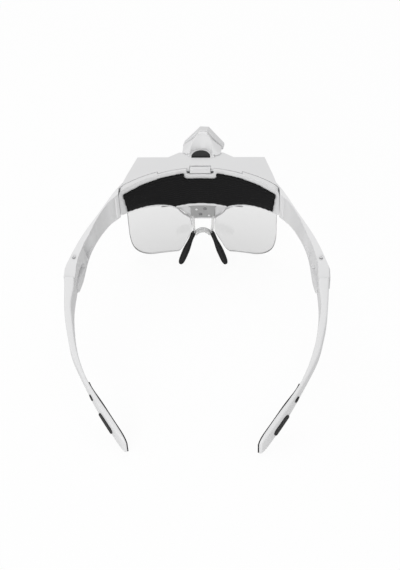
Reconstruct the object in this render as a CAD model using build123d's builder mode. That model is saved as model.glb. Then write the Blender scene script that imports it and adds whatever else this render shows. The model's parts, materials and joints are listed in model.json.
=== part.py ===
from build123d import *
import math
import os

os.makedirs("parts", exist_ok=True)

# Lighted magnifier glasses, in millimetres
# X points to the wearer's right, Y forward, Z up from the table that the lenses and arm tips stand on
# Everything is drawn with Y counted from the line through the wearer's temples,
# and the last lines move the model so that Y is counted from the middle of its length

# Driving dimensions
brow_half_width = 59.4
brow_radius = 80.0
brow_face = 38.0
brow_top = 88.7
brow_height = 35.2
brow_front = 53.2
wall = 1.8
fit = 0.25
running_fit = 0.05
overrun = 3.0

# The forehead line that the cover, the pad and the housing all follow
brow_centre = brow_face - brow_radius
brow_bottom = brow_top - brow_height

# Battery cover
cover_wall = 1.5
cover_side_height = 23.5
cover_corner = 4.0
cover_lip = 2.5
lip_gap = 0.7
cover_mid_lip = 1.1
cover_mid_lip_radius = 72.9
cover_side_lip_from = 32.0
cover_edge_round = 0.4
hook_wide = 8.0
hook_deep = 1.2
hook_tall = 1.6
hook_place_share = 0.24

# Brow pad
pad_thick = 1.6
pad_gap = 0.1
pad_half_width = 56.6
pad_side_half_width = 54.4
pad_top_rim = 2.0
pad_side_top_rim = 4.6
pad_bottom_rim = 3.4
pad_side_bottom_rim = 2.0

# Latch tab and the notch that it stands in
latch_half_width = 7.8
latch_height = 3.4
latch_reach = 4.9
latch_wall = 1.3
latch_proud = 0.5
latch_press_half_width = 6.0
latch_press_deep = 2.9
latch_press_proud = 0.45
latch_groove = 0.55
latch_side_gap = 2.6
notch_floor_gap = 0.9
notch_rim = 3.0
notch_corner = 2.4

# Housing
root_inset = 2.2
root_y = 22.8
shoulder_inset = 2.3
shoulder_y = 31.8
front_inset = 6.3
bulge_half_width = 17.0
bulge_foot_half_width = 25.2
bulge_front = 59.0
bulge_slope_height = 7.0
seat_radius = 11.2
flat_bottom_half_width = 24.8
side_bottom_rise = 11.5
bay_half_length = 23.9

# Battery cells and contacts
cell_diameter = 10.2
cell_length = 44.5
cell_pitch = 10.3
cell_nub_radius = 1.9
cell_nub = 0.9
plate_wide = 8.0
plate_thick = 0.4
spring_wire = 0.5
spring_radius = 3.0

# Visor
visor_wall = 2.0
tongue_back = 48.7
tongue_half_width = 9.6
tongue_bottom = 30.4
bulge_bottom = 62.0
visor_side_bottom = 57.0
peg_radius = 0.95
peg_proud = 0.2
peg_half_spread = 4.9
peg_height = 38.2
peg_half_rise = 3.1
screw_head_radius = 1.25
screw_radius = 0.7
screw_half_spread = 1.95
screw_half_rise = 2.8
screw_height = 39.1
screw_head = 0.8
screw_head_proud = 0.3
screw_slot = 0.35

# Lens plate
lens_back = 44.0
lens_wall = 2.4
lens_radius = 190.0
lens_half_width = 58.4
lens_nose_half_width = 8.9
lens_nose_low = 27.5
lens_strip_bottom = 48.6
lens_strip_top = 52.4
lens_tab_top = 57.0
lens_travel = 12.0
rail_wall = 1.5
rail_bottom = 51.6
rail_start = 33.0
rail_end = 50.0

# Nose frame and pads
nose_plate_wall = 1.6
nose_plate_half_width = 8.2
nose_plate_top = 46.4
nose_plate_bottom = 33.0
nose_leg_wide = 2.0
nose_leg_wall = 1.7
bridge_back = 37.2
bridge_deep = 4.2
bridge_top = 27.6
bridge_radius = 7.2
bridge_wall = 2.0
bridge_end_rise = 2.2
nose_pad_across_shares = (0.8, 0.35, 0.3)
nose_pad_wide = 6.2
nose_pad_thick = 5.4
nose_pad_top = (6.9, 39.2, 25.2)
nose_pad_tip = (18.4, 24.6, 3.0)

# Side brackets, drawn for the right side
side_reach = 90.7
hinge_x = 88.7
hinge_y = -37.4
hinge_radius = 17.6
bracket_wall = 1.5
bracket_flange = 1.5
rib_wall = 1.4
rib_turn = -40.0
pocket_start_share = 0.13
pocket_end_share = 0.78
rib_place_shares = [(0.54, 0.24), (0.27, 0.56)]
fork_slot_bottom = 56.0
fork_slot_top = 61.5
pin_radius = 1.2
pin_proud = 0.3
knuckle_radius = 2.6
knuckle_gap = 0.2
cap_wall = 1.0
cap_height = 11.0
cap_start_y = -26.0
cap_end_y = -52.5

# Temple arms, drawn for the right side
arm_reach = 120.6
arm_top = 66.0
arm_foot = 50.4
arm_round = 1.2
arm_gap = 0.3
grip_wall = 0.9
grip_start_share = 0.7
arm_round_share = 0.4
grip_tall_share = 0.86
small_slot_wide = 3.6
long_slot_wide = 7.0
plug_proud = 0.7

# Lamp, drawn in its own frame: Y forward from the button's centre, turned with the lamp
lamp_turn = -4.5
lamp_dip = 18.0
button_radius = 7.0
button_y = 53.0
button_flat = 0.1
button_proud = 1.6
button_flange = 0.9
button_flange_height = 1.0
button_travel = 1.0
button_gap = 1.2
stem_radius = 1.6
stem_length = 3.0
stem_y = 54.9
switch_half_width = 9.4
switch_deep = 3.8
switch_height = 5.0
switch_lug = 1.8
collar_wall = 1.0
collar_height = 0.9
ring_width = 2.0
ring_height = 1.1
ring_gap = 0.35
tilt_y = 16.0
tilt_height = 3.0
lamp_half_width = 15.6
lamp_low = -5.6
lamp_side = -3.5
lamp_top = 9.1
lamp_apex_half_width = 3.3
lamp_seam = -0.6
lamp_front = 9.0
lamp_wall = 1.5
shell_inset = 0.7
shell_arch = 9.0
lug_half_width = 3.6
lug_radius = 3.0
lamp_pin_radius = 1.2
cheek_wall = 1.9
cheek_radius = 2.4
lamp_window_wall = 1.1
lamp_window_back = 0.9
reflector_depth = 3.4
reflector_wall = 0.7
board_wall = 1.0
led_radius = 1.4
led_height = 1.2
led_spread = 4.6
bowl_radius = 3.4
bowl_taper = 14.0
seam_groove = 0.5


def arc_y(x, radius=brow_radius):
    """How far forward the forehead line stands at a given distance from the middle"""
    return brow_centre + math.sqrt(radius**2 - x**2)


# Lower edge of the cover as shares of the half width and of the rise towards the sides
low_edge_shares = [(0.34, -0.02), (0.52, 0.42), (0.65, 0.655), (0.76, 0.78)]


def low_edge(height, half_width, rise):
    """Right half of a lower edge that runs level under the nose and arches over each lens"""
    return [(half_width * across, height + rise * up) for across, up in low_edge_shares]


cover_top_front = brow_radius + cover_wall
bay_back = cover_top_front + fit
cover_depth = brow_front - arc_y(brow_half_width) + overrun
mid_lip_centre = brow_face + cover_wall + cover_mid_lip - cover_mid_lip_radius
notch_floor = brow_top - latch_height - notch_floor_gap
notch_half_width = latch_half_width + latch_side_gap

# Battery cover: a curved plate with a lip on top that steps further forward near the sides
with BuildPart() as battery_cover:
    with BuildSketch(Plane.XY.offset(brow_bottom - overrun)):
        with Locations((0, brow_centre)):
            Circle(cover_top_front)
            Circle(brow_radius, mode=Mode.SUBTRACT)
    extrude(amount=brow_height + overrun)
    with BuildSketch(Plane.XY.offset(brow_top - cover_wall)):
        with Locations((0, brow_centre)):
            Circle(cover_top_front + cover_lip)
        with Locations((0, brow_front)):
            Rectangle(2 * cover_side_lip_from, 2 * brow_front, mode=Mode.SUBTRACT)
        with Locations((0, mid_lip_centre)):
            Circle(cover_mid_lip_radius)
    extrude(amount=cover_wall)
    with BuildSketch(Plane.XZ.offset(-brow_front - overrun)):
        side_low = brow_top - cover_side_height
        rise = side_low - brow_bottom
        right = low_edge(brow_bottom, brow_half_width, rise)
        with BuildLine():
            Line((-right[0][0], right[0][1]), right[0])
            Spline(*right, (brow_half_width - cover_wall, side_low))
            Line((brow_half_width - cover_wall, side_low), (brow_half_width, side_low + cover_wall))
            Line((brow_half_width, side_low + cover_wall), (brow_half_width, brow_top - cover_corner))
            CenterArc((brow_half_width - cover_corner, brow_top - cover_corner), cover_corner, 0, 90)
            Line((brow_half_width - cover_corner, brow_top), (-brow_half_width + cover_corner, brow_top))
            CenterArc((-brow_half_width + cover_corner, brow_top - cover_corner), cover_corner, 90, 90)
            Line((-brow_half_width, brow_top - cover_corner), (-brow_half_width, side_low + cover_wall))
            Line((-brow_half_width, side_low + cover_wall), (-brow_half_width + cover_wall, side_low))
            Spline((-brow_half_width + cover_wall, side_low), *[(-x, z) for x, z in reversed(right)])
        make_face()
    extrude(amount=cover_depth + overrun, mode=Mode.INTERSECT)
    with BuildSketch(Plane.XZ.offset(-brow_front - overrun)):
        with Locations((0, brow_top)):
            RectangleRounded(2 * notch_half_width, 2 * (brow_top - notch_floor), notch_corner)
    extrude(amount=brow_front, mode=Mode.SUBTRACT)
    hook_x = brow_half_width * hook_place_share
    with BuildSketch(Plane.XY.offset(brow_bottom + wall + fit)):
        with Locations((-hook_x, arc_y(hook_x, cover_top_front)), (hook_x, arc_y(hook_x, cover_top_front))):
            Rectangle(hook_wide, 2 * hook_deep)
    extrude(amount=hook_tall)
    with BuildSketch(Plane.XY.offset(brow_bottom)):
        with Locations((0, brow_centre)):
            Circle(brow_radius)
    extrude(amount=brow_height, mode=Mode.SUBTRACT)

# Brow pad: a thin foam sheet under woven cloth, stuck to the cover and notched for the latch
with BuildPart() as brow_pad:
    pad_face = brow_radius - pad_gap - pad_thick
    with BuildSketch(Plane.XY.offset(brow_bottom)):
        with Locations((0, brow_centre)):
            Circle(brow_radius - pad_gap)
            Circle(pad_face, mode=Mode.SUBTRACT)
    extrude(amount=brow_height)
    with BuildSketch(Plane.XZ.offset(-brow_front)):
        pad_low = brow_bottom + pad_bottom_rim
        pad_side_low = brow_top - cover_side_height + pad_side_bottom_rim
        pad_side_top = brow_top - pad_side_top_rim
        pad_top = brow_top - pad_top_rim
        pad_notch_half_width = notch_half_width + notch_rim / 2
        pad_notch_floor = notch_floor - notch_rim
        right = low_edge(pad_low, brow_half_width, pad_side_low - pad_low)
        with BuildLine():
            RadiusArc((-right[0][0], right[0][1]), right[0], brow_radius)
            Spline(*right, (pad_side_half_width, pad_side_low))
            Line((pad_side_half_width, pad_side_low), (pad_half_width, pad_side_top))
            Spline(
                (pad_half_width, pad_side_top),
                ((pad_half_width + pad_notch_half_width) / 2, (pad_top + pad_side_top) / 2 + pad_gap),
                (pad_notch_half_width, pad_top),
            )
            FilletPolyline(
                (pad_notch_half_width, pad_top),
                (pad_notch_half_width, pad_notch_floor),
                (-pad_notch_half_width, pad_notch_floor),
                (-pad_notch_half_width, pad_top),
                radius=notch_corner,
            )
            Spline(
                (-pad_notch_half_width, pad_top),
                (-(pad_half_width + pad_notch_half_width) / 2, (pad_top + pad_side_top) / 2 + pad_gap),
                (-pad_half_width, pad_side_top),
            )
            Line((-pad_half_width, pad_side_top), (-pad_side_half_width, pad_side_low))
            Spline((-pad_side_half_width, pad_side_low), *[(-x, z) for x, z in reversed(right)])
        make_face()
    extrude(amount=brow_front, mode=Mode.INTERSECT)

# Latch: an angle that stands in the cover's notch and reaches over the housing's edge
with BuildPart() as cover_latch:
    latch_foot = brow_top - latch_height
    with BuildSketch(Plane.YZ.offset(-latch_half_width)):
        with BuildLine():
            Polyline(
                (brow_face, latch_foot),
                (brow_face + latch_wall, latch_foot),
                (brow_face + latch_wall, brow_top - latch_wall),
                (brow_face + latch_reach, brow_top - latch_wall),
                (brow_face + latch_reach, brow_top + latch_proud),
                (brow_face, brow_top + latch_proud),
                close=True,
            )
        make_face()
    extrude(amount=2 * latch_half_width)
    fillet(cover_latch.edges().filter_by(Axis.X).group_by(Axis.Z)[-1], cover_edge_round)
    # Raised finger press with a groove in front of it
    press_front = brow_face + latch_reach - 2 * latch_groove
    with BuildSketch(Plane.XY.offset(brow_top + latch_proud)):
        with Locations((0, press_front - latch_groove - latch_press_deep / 2)):
            RectangleRounded(2 * latch_press_half_width, latch_press_deep, latch_press_deep / 3)
    extrude(amount=latch_press_proud)
    with BuildSketch(Plane.XY.offset(brow_top + latch_proud)):
        with Locations((0, press_front - latch_groove / 2)):
            Rectangle(2 * latch_press_half_width, latch_groove)
    extrude(amount=-latch_groove, mode=Mode.SUBTRACT)

# Housing: walls that follow the plan, open at the front, with a window for the cells behind the cover
root_half_width = brow_half_width - root_inset
shoulder_half_width = root_half_width - shoulder_inset
front_half_width = shoulder_half_width - front_inset
plan_right = [
    (root_half_width, root_y),
    (shoulder_half_width, shoulder_y),
    (front_half_width, brow_front),
    (bulge_foot_half_width, brow_front),
    (bulge_half_width, bulge_front),
]
peg_places = [(-peg_half_spread, peg_height + peg_half_rise), (peg_half_spread, peg_height - peg_half_rise)]
screw_places = [
    (-screw_half_spread, screw_height - screw_half_rise),
    (screw_half_spread, screw_height + screw_half_rise),
]
cells_back = brow_face + cover_wall + 2 * fit
cells_y = cells_back + cell_diameter / 2
visor_back = brow_front - visor_wall


def housing_plan(inset, front_y, back_radius):
    """Plan of the brow housing between the forehead line and the front, drawn inset from its outline"""
    side = [(x - inset, y) for x, y in plan_right]
    back_x = side[0][0] + inset / 2
    with BuildLine() as outline:
        Polyline(
            (back_x, arc_y(back_x, back_radius)),
            side[0],
            side[1],
            (side[2][0], front_y),
            (-side[2][0], front_y),
            (-side[1][0], side[1][1]),
            (-side[0][0], side[0][1]),
            (-back_x, arc_y(back_x, back_radius)),
        )
        ThreePointArc(
            (-back_x, arc_y(back_x, back_radius)),
            (0, arc_y(0, back_radius)),
            (back_x, arc_y(back_x, back_radius)),
        )
    return outline.edges()


def bulge_plan(inset):
    """Plan of the bulge that carries the lamp"""
    with BuildLine() as outline:
        Polyline(
            (bulge_foot_half_width - inset, visor_back - overrun),
            (bulge_foot_half_width - inset, brow_front - inset),
            (bulge_half_width - inset, bulge_front - inset),
            (-bulge_half_width + inset, bulge_front - inset),
            (-bulge_foot_half_width + inset, brow_front - inset),
            (-bulge_foot_half_width + inset, visor_back - overrun),
            close=True,
        )
    return outline.edges()


def underside(height, rise, half_width):
    """Front view of the housing above its underside, which is level under the cells and rises outwards"""
    with BuildLine() as outline:
        Polyline(
            (flat_bottom_half_width, height),
            (half_width * low_edge_shares[1][0], height + rise * low_edge_shares[1][1]),
            (half_width * low_edge_shares[2][0], height + rise * low_edge_shares[2][1]),
            (half_width + overrun, height + rise),
            (half_width + overrun, brow_top + overrun),
            (-half_width - overrun, brow_top + overrun),
            (-half_width - overrun, height + rise),
            (-half_width * low_edge_shares[2][0], height + rise * low_edge_shares[2][1]),
            (-half_width * low_edge_shares[1][0], height + rise * low_edge_shares[1][1]),
            (-flat_bottom_half_width, height),
            close=True,
        )
    return outline.edges()


# Space inside the housing, drawn apart so that its floor follows the underside
with BuildPart() as brow_cavity:
    with BuildSketch(Plane.XY.offset(brow_bottom)):
        make_face(housing_plan(wall, brow_front + overrun, bay_back + wall))
    extrude(amount=brow_height - wall)
    with BuildSketch(Plane.XZ.offset(-bulge_front - overrun)):
        make_face(underside(brow_bottom + wall, side_bottom_rise, brow_half_width))
    extrude(amount=bulge_front + overrun, mode=Mode.INTERSECT)

collar_radius = button_radius + fit + collar_wall
with BuildPart() as brow_housing:
    with BuildSketch(Plane.XY.offset(brow_bottom)):
        make_face(housing_plan(0, brow_front, bay_back))
    extrude(amount=brow_height)
    with BuildSketch(Plane.XZ.offset(-bulge_front - overrun)):
        make_face(underside(brow_bottom, side_bottom_rise, brow_half_width))
    extrude(amount=bulge_front + overrun, mode=Mode.INTERSECT)
    add(brow_cavity.part, mode=Mode.SUBTRACT)
    # The visor closes the front below the top plate
    with BuildSketch(Plane.XY.offset(brow_bottom - overrun)):
        with Locations((0, visor_back - fit + overrun)):
            Rectangle(4 * brow_half_width, 2 * overrun)
    extrude(amount=brow_height + overrun - wall, mode=Mode.SUBTRACT)
    with BuildSketch(Plane.XY.offset(brow_top - wall)):
        make_face(bulge_plan(0))
        with Locations((0, button_y)):
            Circle(seat_radius)
    extrude(amount=wall)
    # Collar that the button moves in
    with BuildSketch(Plane.XY.offset(brow_top)):
        with Locations((0, button_y)):
            Circle(collar_radius)
            with Locations((0, -collar_radius - button_flat - fit)):
                Rectangle(2 * collar_radius, 2 * collar_radius, mode=Mode.SUBTRACT)
    extrude(amount=collar_height)
    with BuildSketch(Plane.XY.offset(brow_top - wall)):
        with Locations((0, button_y)):
            Circle(button_radius + fit)
            with Locations((0, -button_radius - button_flat - fit)):
                Rectangle(2 * button_radius + 2 * fit, 2 * button_radius, mode=Mode.SUBTRACT)
    extrude(amount=wall + collar_height, mode=Mode.SUBTRACT)
    # Rear edge of the top plate, cut back for the cover's lip and for the latch
    with BuildSketch(Plane.XY.offset(brow_top - cover_wall - lip_gap)):
        with Locations((0, brow_centre)):
            Circle(cover_top_front + cover_lip + fit)
        with Locations((0, brow_front)):
            Rectangle(2 * (cover_side_lip_from - fit), 2 * brow_front, mode=Mode.SUBTRACT)
        with Locations((0, mid_lip_centre)):
            Circle(cover_mid_lip_radius + fit)
        with Locations((0, brow_centre)):
            Circle(bay_back)
    extrude(amount=cover_wall + lip_gap + overrun, mode=Mode.SUBTRACT)
    with BuildSketch(Plane.XY.offset(notch_floor)):
        with Locations((0, brow_face)):
            Rectangle(2 * (latch_half_width + fit), 2 * (latch_reach + fit))
    extrude(amount=brow_top - notch_floor + overrun, mode=Mode.SUBTRACT)
    # Window for the cells, which the cover's hooks catch under
    cell_span = 3 * cell_pitch
    with BuildSketch(Plane.XZ.offset(-cells_y)):
        with Locations((0, brow_bottom + wall + cell_span / 2)):
            Rectangle(2 * bay_half_length, cell_span)
    extrude(amount=cells_y - arc_y(brow_half_width), mode=Mode.SUBTRACT)
    # Rails that hold the tabs of the lens plate
    lens_centre = lens_back - lens_radius
    with BuildSketch(Plane.XY.offset(rail_bottom)):
        with Locations((0, lens_centre)):
            Circle(lens_radius + lens_wall + fit + rail_wall)
            Circle(lens_radius + lens_wall + fit, mode=Mode.SUBTRACT)
            Circle(lens_radius - fit)
            Circle(lens_radius - fit - rail_wall, mode=Mode.SUBTRACT)
        with Locations((0, lens_back)):
            Rectangle(2 * rail_end, lens_back, mode=Mode.INTERSECT)
            Rectangle(2 * rail_start, lens_back, mode=Mode.SUBTRACT)
    extrude(amount=brow_bottom + side_bottom_rise - rail_bottom)

# Three cells lying across the brow
with BuildPart() as battery_cells:
    cell_heights = [brow_bottom + wall + cell_pitch * (row + 0.5) for row in range(3)]
    for row, height in enumerate(cell_heights):
        way = 1 if row % 2 == 0 else -1
        with BuildSketch(Plane.YZ.offset(-way * cell_length / 2)):
            with Locations((cells_y, height)):
                Circle(cell_diameter / 2)
        extrude(amount=way * (cell_length - cell_nub))
        with BuildSketch(Plane.YZ.offset(way * (cell_length / 2 - cell_nub))):
            with Locations((cells_y, height)):
                Circle(cell_nub_radius)
        extrude(amount=way * cell_nub)

# Contact plates at the positive ends and coil springs at the negative ends
with BuildPart() as contact_plates:
    for row, height in enumerate(cell_heights):
        way = 1 if row % 2 == 0 else -1
        with BuildSketch(Plane.YZ.offset(way * (cell_length / 2 + running_fit))):
            with Locations((cells_y, height)):
                RectangleRounded(plate_wide, plate_wide, plate_thick)
        extrude(amount=way * plate_thick)
with BuildPart() as contact_springs:
    spring_room = bay_half_length - cell_length / 2 - running_fit
    for row, height in enumerate(cell_heights):
        way = -1 if row % 2 == 0 else 1
        with BuildSketch(Plane.YZ.offset(way * (cell_length / 2 + running_fit))):
            with Locations((cells_y, height)):
                Circle(spring_radius)
                Circle(spring_radius - spring_wire, mode=Mode.SUBTRACT)
        extrude(amount=way * (spring_room - running_fit))

visor_top = brow_top - wall - running_fit


def bulge(inset):
    """Hollow or outside of the visor's bulge, sloped underneath and rounded in front below the lamp's seat"""
    with BuildPart() as lump:
        with BuildSketch(Plane.XY.offset(bulge_bottom)):
            make_face(bulge_plan(inset))
            with Locations((0, button_y)):
                Circle(seat_radius - inset)
        extrude(amount=visor_top - bulge_bottom)
        with BuildSketch(Plane.YZ.offset(-bulge_foot_half_width)):
            with BuildLine():
                Polyline(
                    (visor_back - inset, bulge_bottom + inset),
                    (brow_front - inset, bulge_bottom + inset),
                    (button_y + seat_radius, bulge_bottom + bulge_slope_height + inset),
                    (button_y + seat_radius, visor_top),
                    (visor_back - inset, visor_top),
                    close=True,
                )
            make_face()
        extrude(amount=2 * bulge_foot_half_width, mode=Mode.INTERSECT)
    return lump.part


# Visor: closes the housing's front and reaches down between the lenses as a tongue
visor_bend_low = brow_bottom - fit - (visor_back - tongue_back)
with BuildPart() as front_visor:
    with BuildSketch(Plane.YZ.offset(-front_half_width)):
        with BuildLine():
            Polyline(
                (visor_back, visor_top),
                (visor_back, brow_bottom - fit),
                (tongue_back, visor_bend_low),
                (tongue_back, tongue_bottom - overrun),
                (tongue_back + visor_wall, tongue_bottom - overrun),
                (tongue_back + visor_wall, visor_bend_low),
                (brow_front, brow_bottom - fit),
                (brow_front, visor_top),
                close=True,
            )
        make_face()
    extrude(amount=2 * front_half_width)
    visor_edge_shares = [(0.26, 0.17), (0.42, 0.42), (0.66, 0.62), (0.86, 0.86)]
    visor_drop = visor_side_bottom - tongue_bottom
    with BuildSketch(Plane.XZ.offset(-bulge_front)):
        edge = [(front_half_width * across, tongue_bottom + visor_drop * up) for across, up in visor_edge_shares]
        with BuildLine():
            Line((-tongue_half_width, tongue_bottom), (tongue_half_width, tongue_bottom))
            Spline((tongue_half_width, tongue_bottom), *edge, (front_half_width, visor_side_bottom))
            Polyline(
                (front_half_width, visor_side_bottom),
                (front_half_width, visor_top),
                (-front_half_width, visor_top),
                (-front_half_width, visor_side_bottom),
            )
            Spline(
                (-front_half_width, visor_side_bottom),
                *[(-x, z) for x, z in reversed(edge)],
                (-tongue_half_width, tongue_bottom),
            )
        make_face()
    extrude(amount=bulge_front, mode=Mode.INTERSECT)
    # Bulge with the room for the switch behind it
    add(bulge(0))
    add(bulge(visor_wall), mode=Mode.SUBTRACT)
    # Locating pegs and pilot holes of the nose frame
    with BuildSketch(Plane.XZ.offset(-tongue_back)):
        with Locations(*peg_places):
            Circle(peg_radius)
    extrude(amount=nose_plate_wall + peg_proud)
    with BuildSketch(Plane.XZ.offset(-tongue_back)):
        with Locations(*screw_places):
            Circle(screw_radius)
    extrude(amount=-visor_wall, mode=Mode.SUBTRACT)

# Lens plate: two lenses in one clear plate, joined by a strip over the nose, with a tab above each lens
lens_top_shares = [(0.176, 0.623), (0.325, 0.723), (0.479, 0.8), (0.548, 0.846)]
lens_corner_shares = [(1.0, 0.46), (0.985, 0.3), (0.925, 0.13), (0.82, 0.035), (0.68, 0.0)]
lens_nose_shares = [(0.36, 0.0), (0.325, 0.03), (0.24, 0.19), (0.165, 0.36)]
with BuildPart() as lens_plate:
    with BuildSketch(Plane.XY):
        with Locations((0, lens_centre)):
            Circle(lens_radius + lens_wall)
            Circle(lens_radius, mode=Mode.SUBTRACT)
        with Locations((0, lens_back)):
            Rectangle(2 * lens_half_width, lens_back, mode=Mode.INTERSECT)
    extrude(amount=lens_tab_top)
    with BuildSketch(Plane.XZ.offset(-lens_back - overrun)):
        outer_side = [(lens_half_width * across, lens_tab_top * up) for across, up in lens_corner_shares]
        nose_side = [(lens_half_width * across, lens_tab_top * up) for across, up in lens_nose_shares]
        top_side = [(lens_half_width * across, lens_tab_top * up) for across, up in lens_top_shares]
        with BuildLine():
            Polyline((0, lens_strip_top), (rail_start, lens_strip_top), (rail_start + lens_wall, lens_tab_top))
            Line((rail_start + lens_wall, lens_tab_top), (rail_end - lens_wall, lens_tab_top))
            Line((rail_end - lens_wall, lens_tab_top), (lens_half_width, lens_strip_top))
            Line((lens_half_width, lens_strip_top), outer_side[0])
            Spline(*outer_side)
            Line(outer_side[-1], nose_side[0])
            Spline(*nose_side, (lens_nose_half_width, lens_nose_low))
            Line((lens_nose_half_width, lens_nose_low), top_side[0])
            Spline(*top_side)
            Polyline(top_side[-1], (top_side[-1][0], lens_strip_bottom), (0, lens_strip_bottom))
            Line((0, lens_strip_bottom), (0, lens_strip_top))
        make_face()
        mirror(about=Plane.YZ)
    extrude(amount=lens_back + overrun, mode=Mode.INTERSECT)

# Nose frame: a clear plate on the visor's tongue, two legs and a bridge between the nose pads
nose_plate_front = tongue_back - running_fit
nose_plate_back = nose_plate_front - nose_plate_wall
with BuildPart() as nose_frame:
    with BuildSketch(Plane.XZ.offset(-nose_plate_front)):
        with Locations((0, (nose_plate_top + nose_plate_bottom) / 2)):
            RectangleRounded(2 * nose_plate_half_width, nose_plate_top - nose_plate_bottom, notch_corner)
    extrude(amount=nose_plate_wall)
    bridge_low = bridge_top - bridge_radius
    bridge_front = bridge_back + bridge_deep
    with BuildSketch(Plane.YZ.offset(nose_plate_half_width - nose_leg_wide)):
        with BuildLine():
            Polyline(
                (nose_plate_front, nose_plate_bottom + overrun),
                (nose_plate_front, nose_plate_bottom - nose_leg_wall),
                (bridge_front, bridge_low + nose_leg_wall),
                (bridge_back, bridge_low),
                (bridge_back, bridge_top - nose_leg_wide),
                (bridge_front, bridge_top - nose_leg_wall),
                (nose_plate_back, nose_plate_bottom + nose_leg_wall),
                (nose_plate_back, nose_plate_bottom + overrun),
                close=True,
            )
        make_face()
    extrude(amount=nose_leg_wide)
    mirror(about=Plane.YZ)
    with BuildSketch(Plane.XZ.offset(-bridge_front)):
        with Locations((0, bridge_low)):
            Circle(bridge_radius)
            Circle(bridge_radius - bridge_wall, mode=Mode.SUBTRACT)
            with Locations((0, -bridge_radius)):
                Rectangle(2 * bridge_radius, 2 * bridge_radius, mode=Mode.SUBTRACT)
    extrude(amount=bridge_deep)
    # Holes for the pegs and screws, and the lower ends cut level inside the pads
    with BuildSketch(Plane.XZ.offset(-nose_plate_front)):
        with Locations(*peg_places):
            Circle(peg_radius + running_fit)
        with Locations(*screw_places):
            Circle(screw_radius + running_fit)
    extrude(amount=nose_plate_wall, mode=Mode.SUBTRACT)
    with BuildSketch(Plane.XZ.offset(-nose_plate_back)):
        with Locations(*screw_places):
            Circle(screw_head_radius + running_fit)
    extrude(amount=-(screw_head - screw_head_proud + running_fit), mode=Mode.SUBTRACT)
    with BuildSketch(Plane.XY.offset(bridge_low - overrun)):
        with Locations((0, bridge_front)):
            Rectangle(4 * bridge_radius, 4 * bridge_radius)
    extrude(amount=overrun + bridge_end_rise, mode=Mode.SUBTRACT)

# Two screws with slotted heads that hold the nose frame
with BuildPart() as nose_screws:
    head_back = nose_plate_back - screw_head_proud
    with BuildSketch(Plane.XZ.offset(-head_back)):
        with Locations(*screw_places):
            Circle(screw_head_radius)
    extrude(amount=-screw_head)
    with BuildSketch(Plane.XZ.offset(-head_back)):
        with Locations(*screw_places):
            Circle(screw_radius)
    extrude(amount=-(screw_head_proud + nose_plate_wall + running_fit + visor_wall))
    with BuildSketch(Plane.XZ.offset(-head_back)):
        with Locations(*screw_places):
            Rectangle(2 * screw_head_radius, screw_slot)
    extrude(amount=-screw_head / 2, mode=Mode.SUBTRACT)

# Nose pads: soft rubber drops, narrow at the bridge and fuller below
pad_top_point = Vector(*nose_pad_top)
pad_tip_point = Vector(*nose_pad_tip)
pad_along = (pad_tip_point - pad_top_point).normalized()
pad_length = (pad_tip_point - pad_top_point).length
pad_across = Vector(*nose_pad_across_shares).cross(pad_along).normalized()
pad_section_shares = [
    (0.0, 0.42, 0.4),
    (0.03, 0.6, 0.6),
    (0.1, 0.68, 0.7),
    (0.4, 0.82, 0.84),
    (0.7, 1.0, 1.0),
    (0.88, 0.88, 0.9),
    (0.97, 0.56, 0.62),
    (1.0, 0.26, 0.32),
]
with BuildPart() as nose_pad_right:
    for along, wide, thick in pad_section_shares:
        place = pad_top_point + pad_along * (pad_length * along)
        with BuildSketch(Plane(origin=place, x_dir=pad_across, z_dir=pad_along)):
            Ellipse(nose_pad_wide * wide / 2, nose_pad_thick * thick / 2)
    loft()
    add(nose_frame.part, mode=Mode.SUBTRACT)
with BuildPart() as nose_pad_left:
    mirror(nose_pad_right.part, about=Plane.YZ)

# Side brackets: a channel with ribs, open to the head, that ends in a fork round the hinge pin
bracket_span = root_y - hinge_y
bracket_side = brow_half_width + fit


def bracket_place(across, along):
    """A place in plan from shares of the way out from the root and of the way forward from the hinge"""
    return (root_half_width + (side_reach - root_half_width) * across, hinge_y + bracket_span * along)


bracket_outer_shares = [(0.155, 0.85), (0.352, 0.676), (0.615, 0.457), (0.803, 0.287), (0.958, 0.106)]
bracket_inner_shares = [(0.287, 0.697), (0.463, 0.548), (0.597, 0.389), (0.687, 0.232), (0.74, 0.04)]
fork_outer = bracket_place(1.096, -0.12)
fork_inner = bracket_place(0.767, -0.12)
fork_outer_end = (fork_outer[0], fork_outer[1] - hinge_radius)
fork_inner_end = (bracket_place(0.866, 0)[0], fork_outer[1] - hinge_radius)
facet_shares = [(0.36, 0.603, 0.609), (0.2, 0.737, 0.693), (0.0, 0.857, 0.74), (-0.12, 0.89, 0.776), (-0.36, 0.872, 0.863)]
line_place_shares = (1.1, 0.98, 0.85, 0.62, 0.37, 0.12, -0.32)
top_line_shares = (1.0, 1.0, 0.97, 0.73, 0.46, 0.22, 0.0)
foot_line_shares = (1.0, 1.0, 0.98, 0.77, 0.51, 0.24, 0.0)


def bracket_outline():
    """Plan of the right bracket from the housing's end face to the fork"""
    outer = [bracket_place(*share) for share in bracket_outer_shares]
    inner = [bracket_place(*share) for share in bracket_inner_shares]
    root_x = root_half_width + running_fit
    lip_radius = cover_top_front + cover_lip + fit
    with BuildLine() as outline:
        Line((root_x, arc_y(root_x, lip_radius)), (root_x, root_y))
        Spline((root_x, root_y), *outer, fork_outer)
        Polyline(fork_outer, fork_outer_end, fork_inner_end, fork_inner)
        Spline(fork_inner, *reversed(inner))
        Polyline(
            inner[0],
            (bracket_side, arc_y(brow_half_width) - fit),
            (bracket_side, arc_y(bracket_side, lip_radius)),
            (root_x, arc_y(root_x, lip_radius)),
        )
    return outline.edges()


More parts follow.
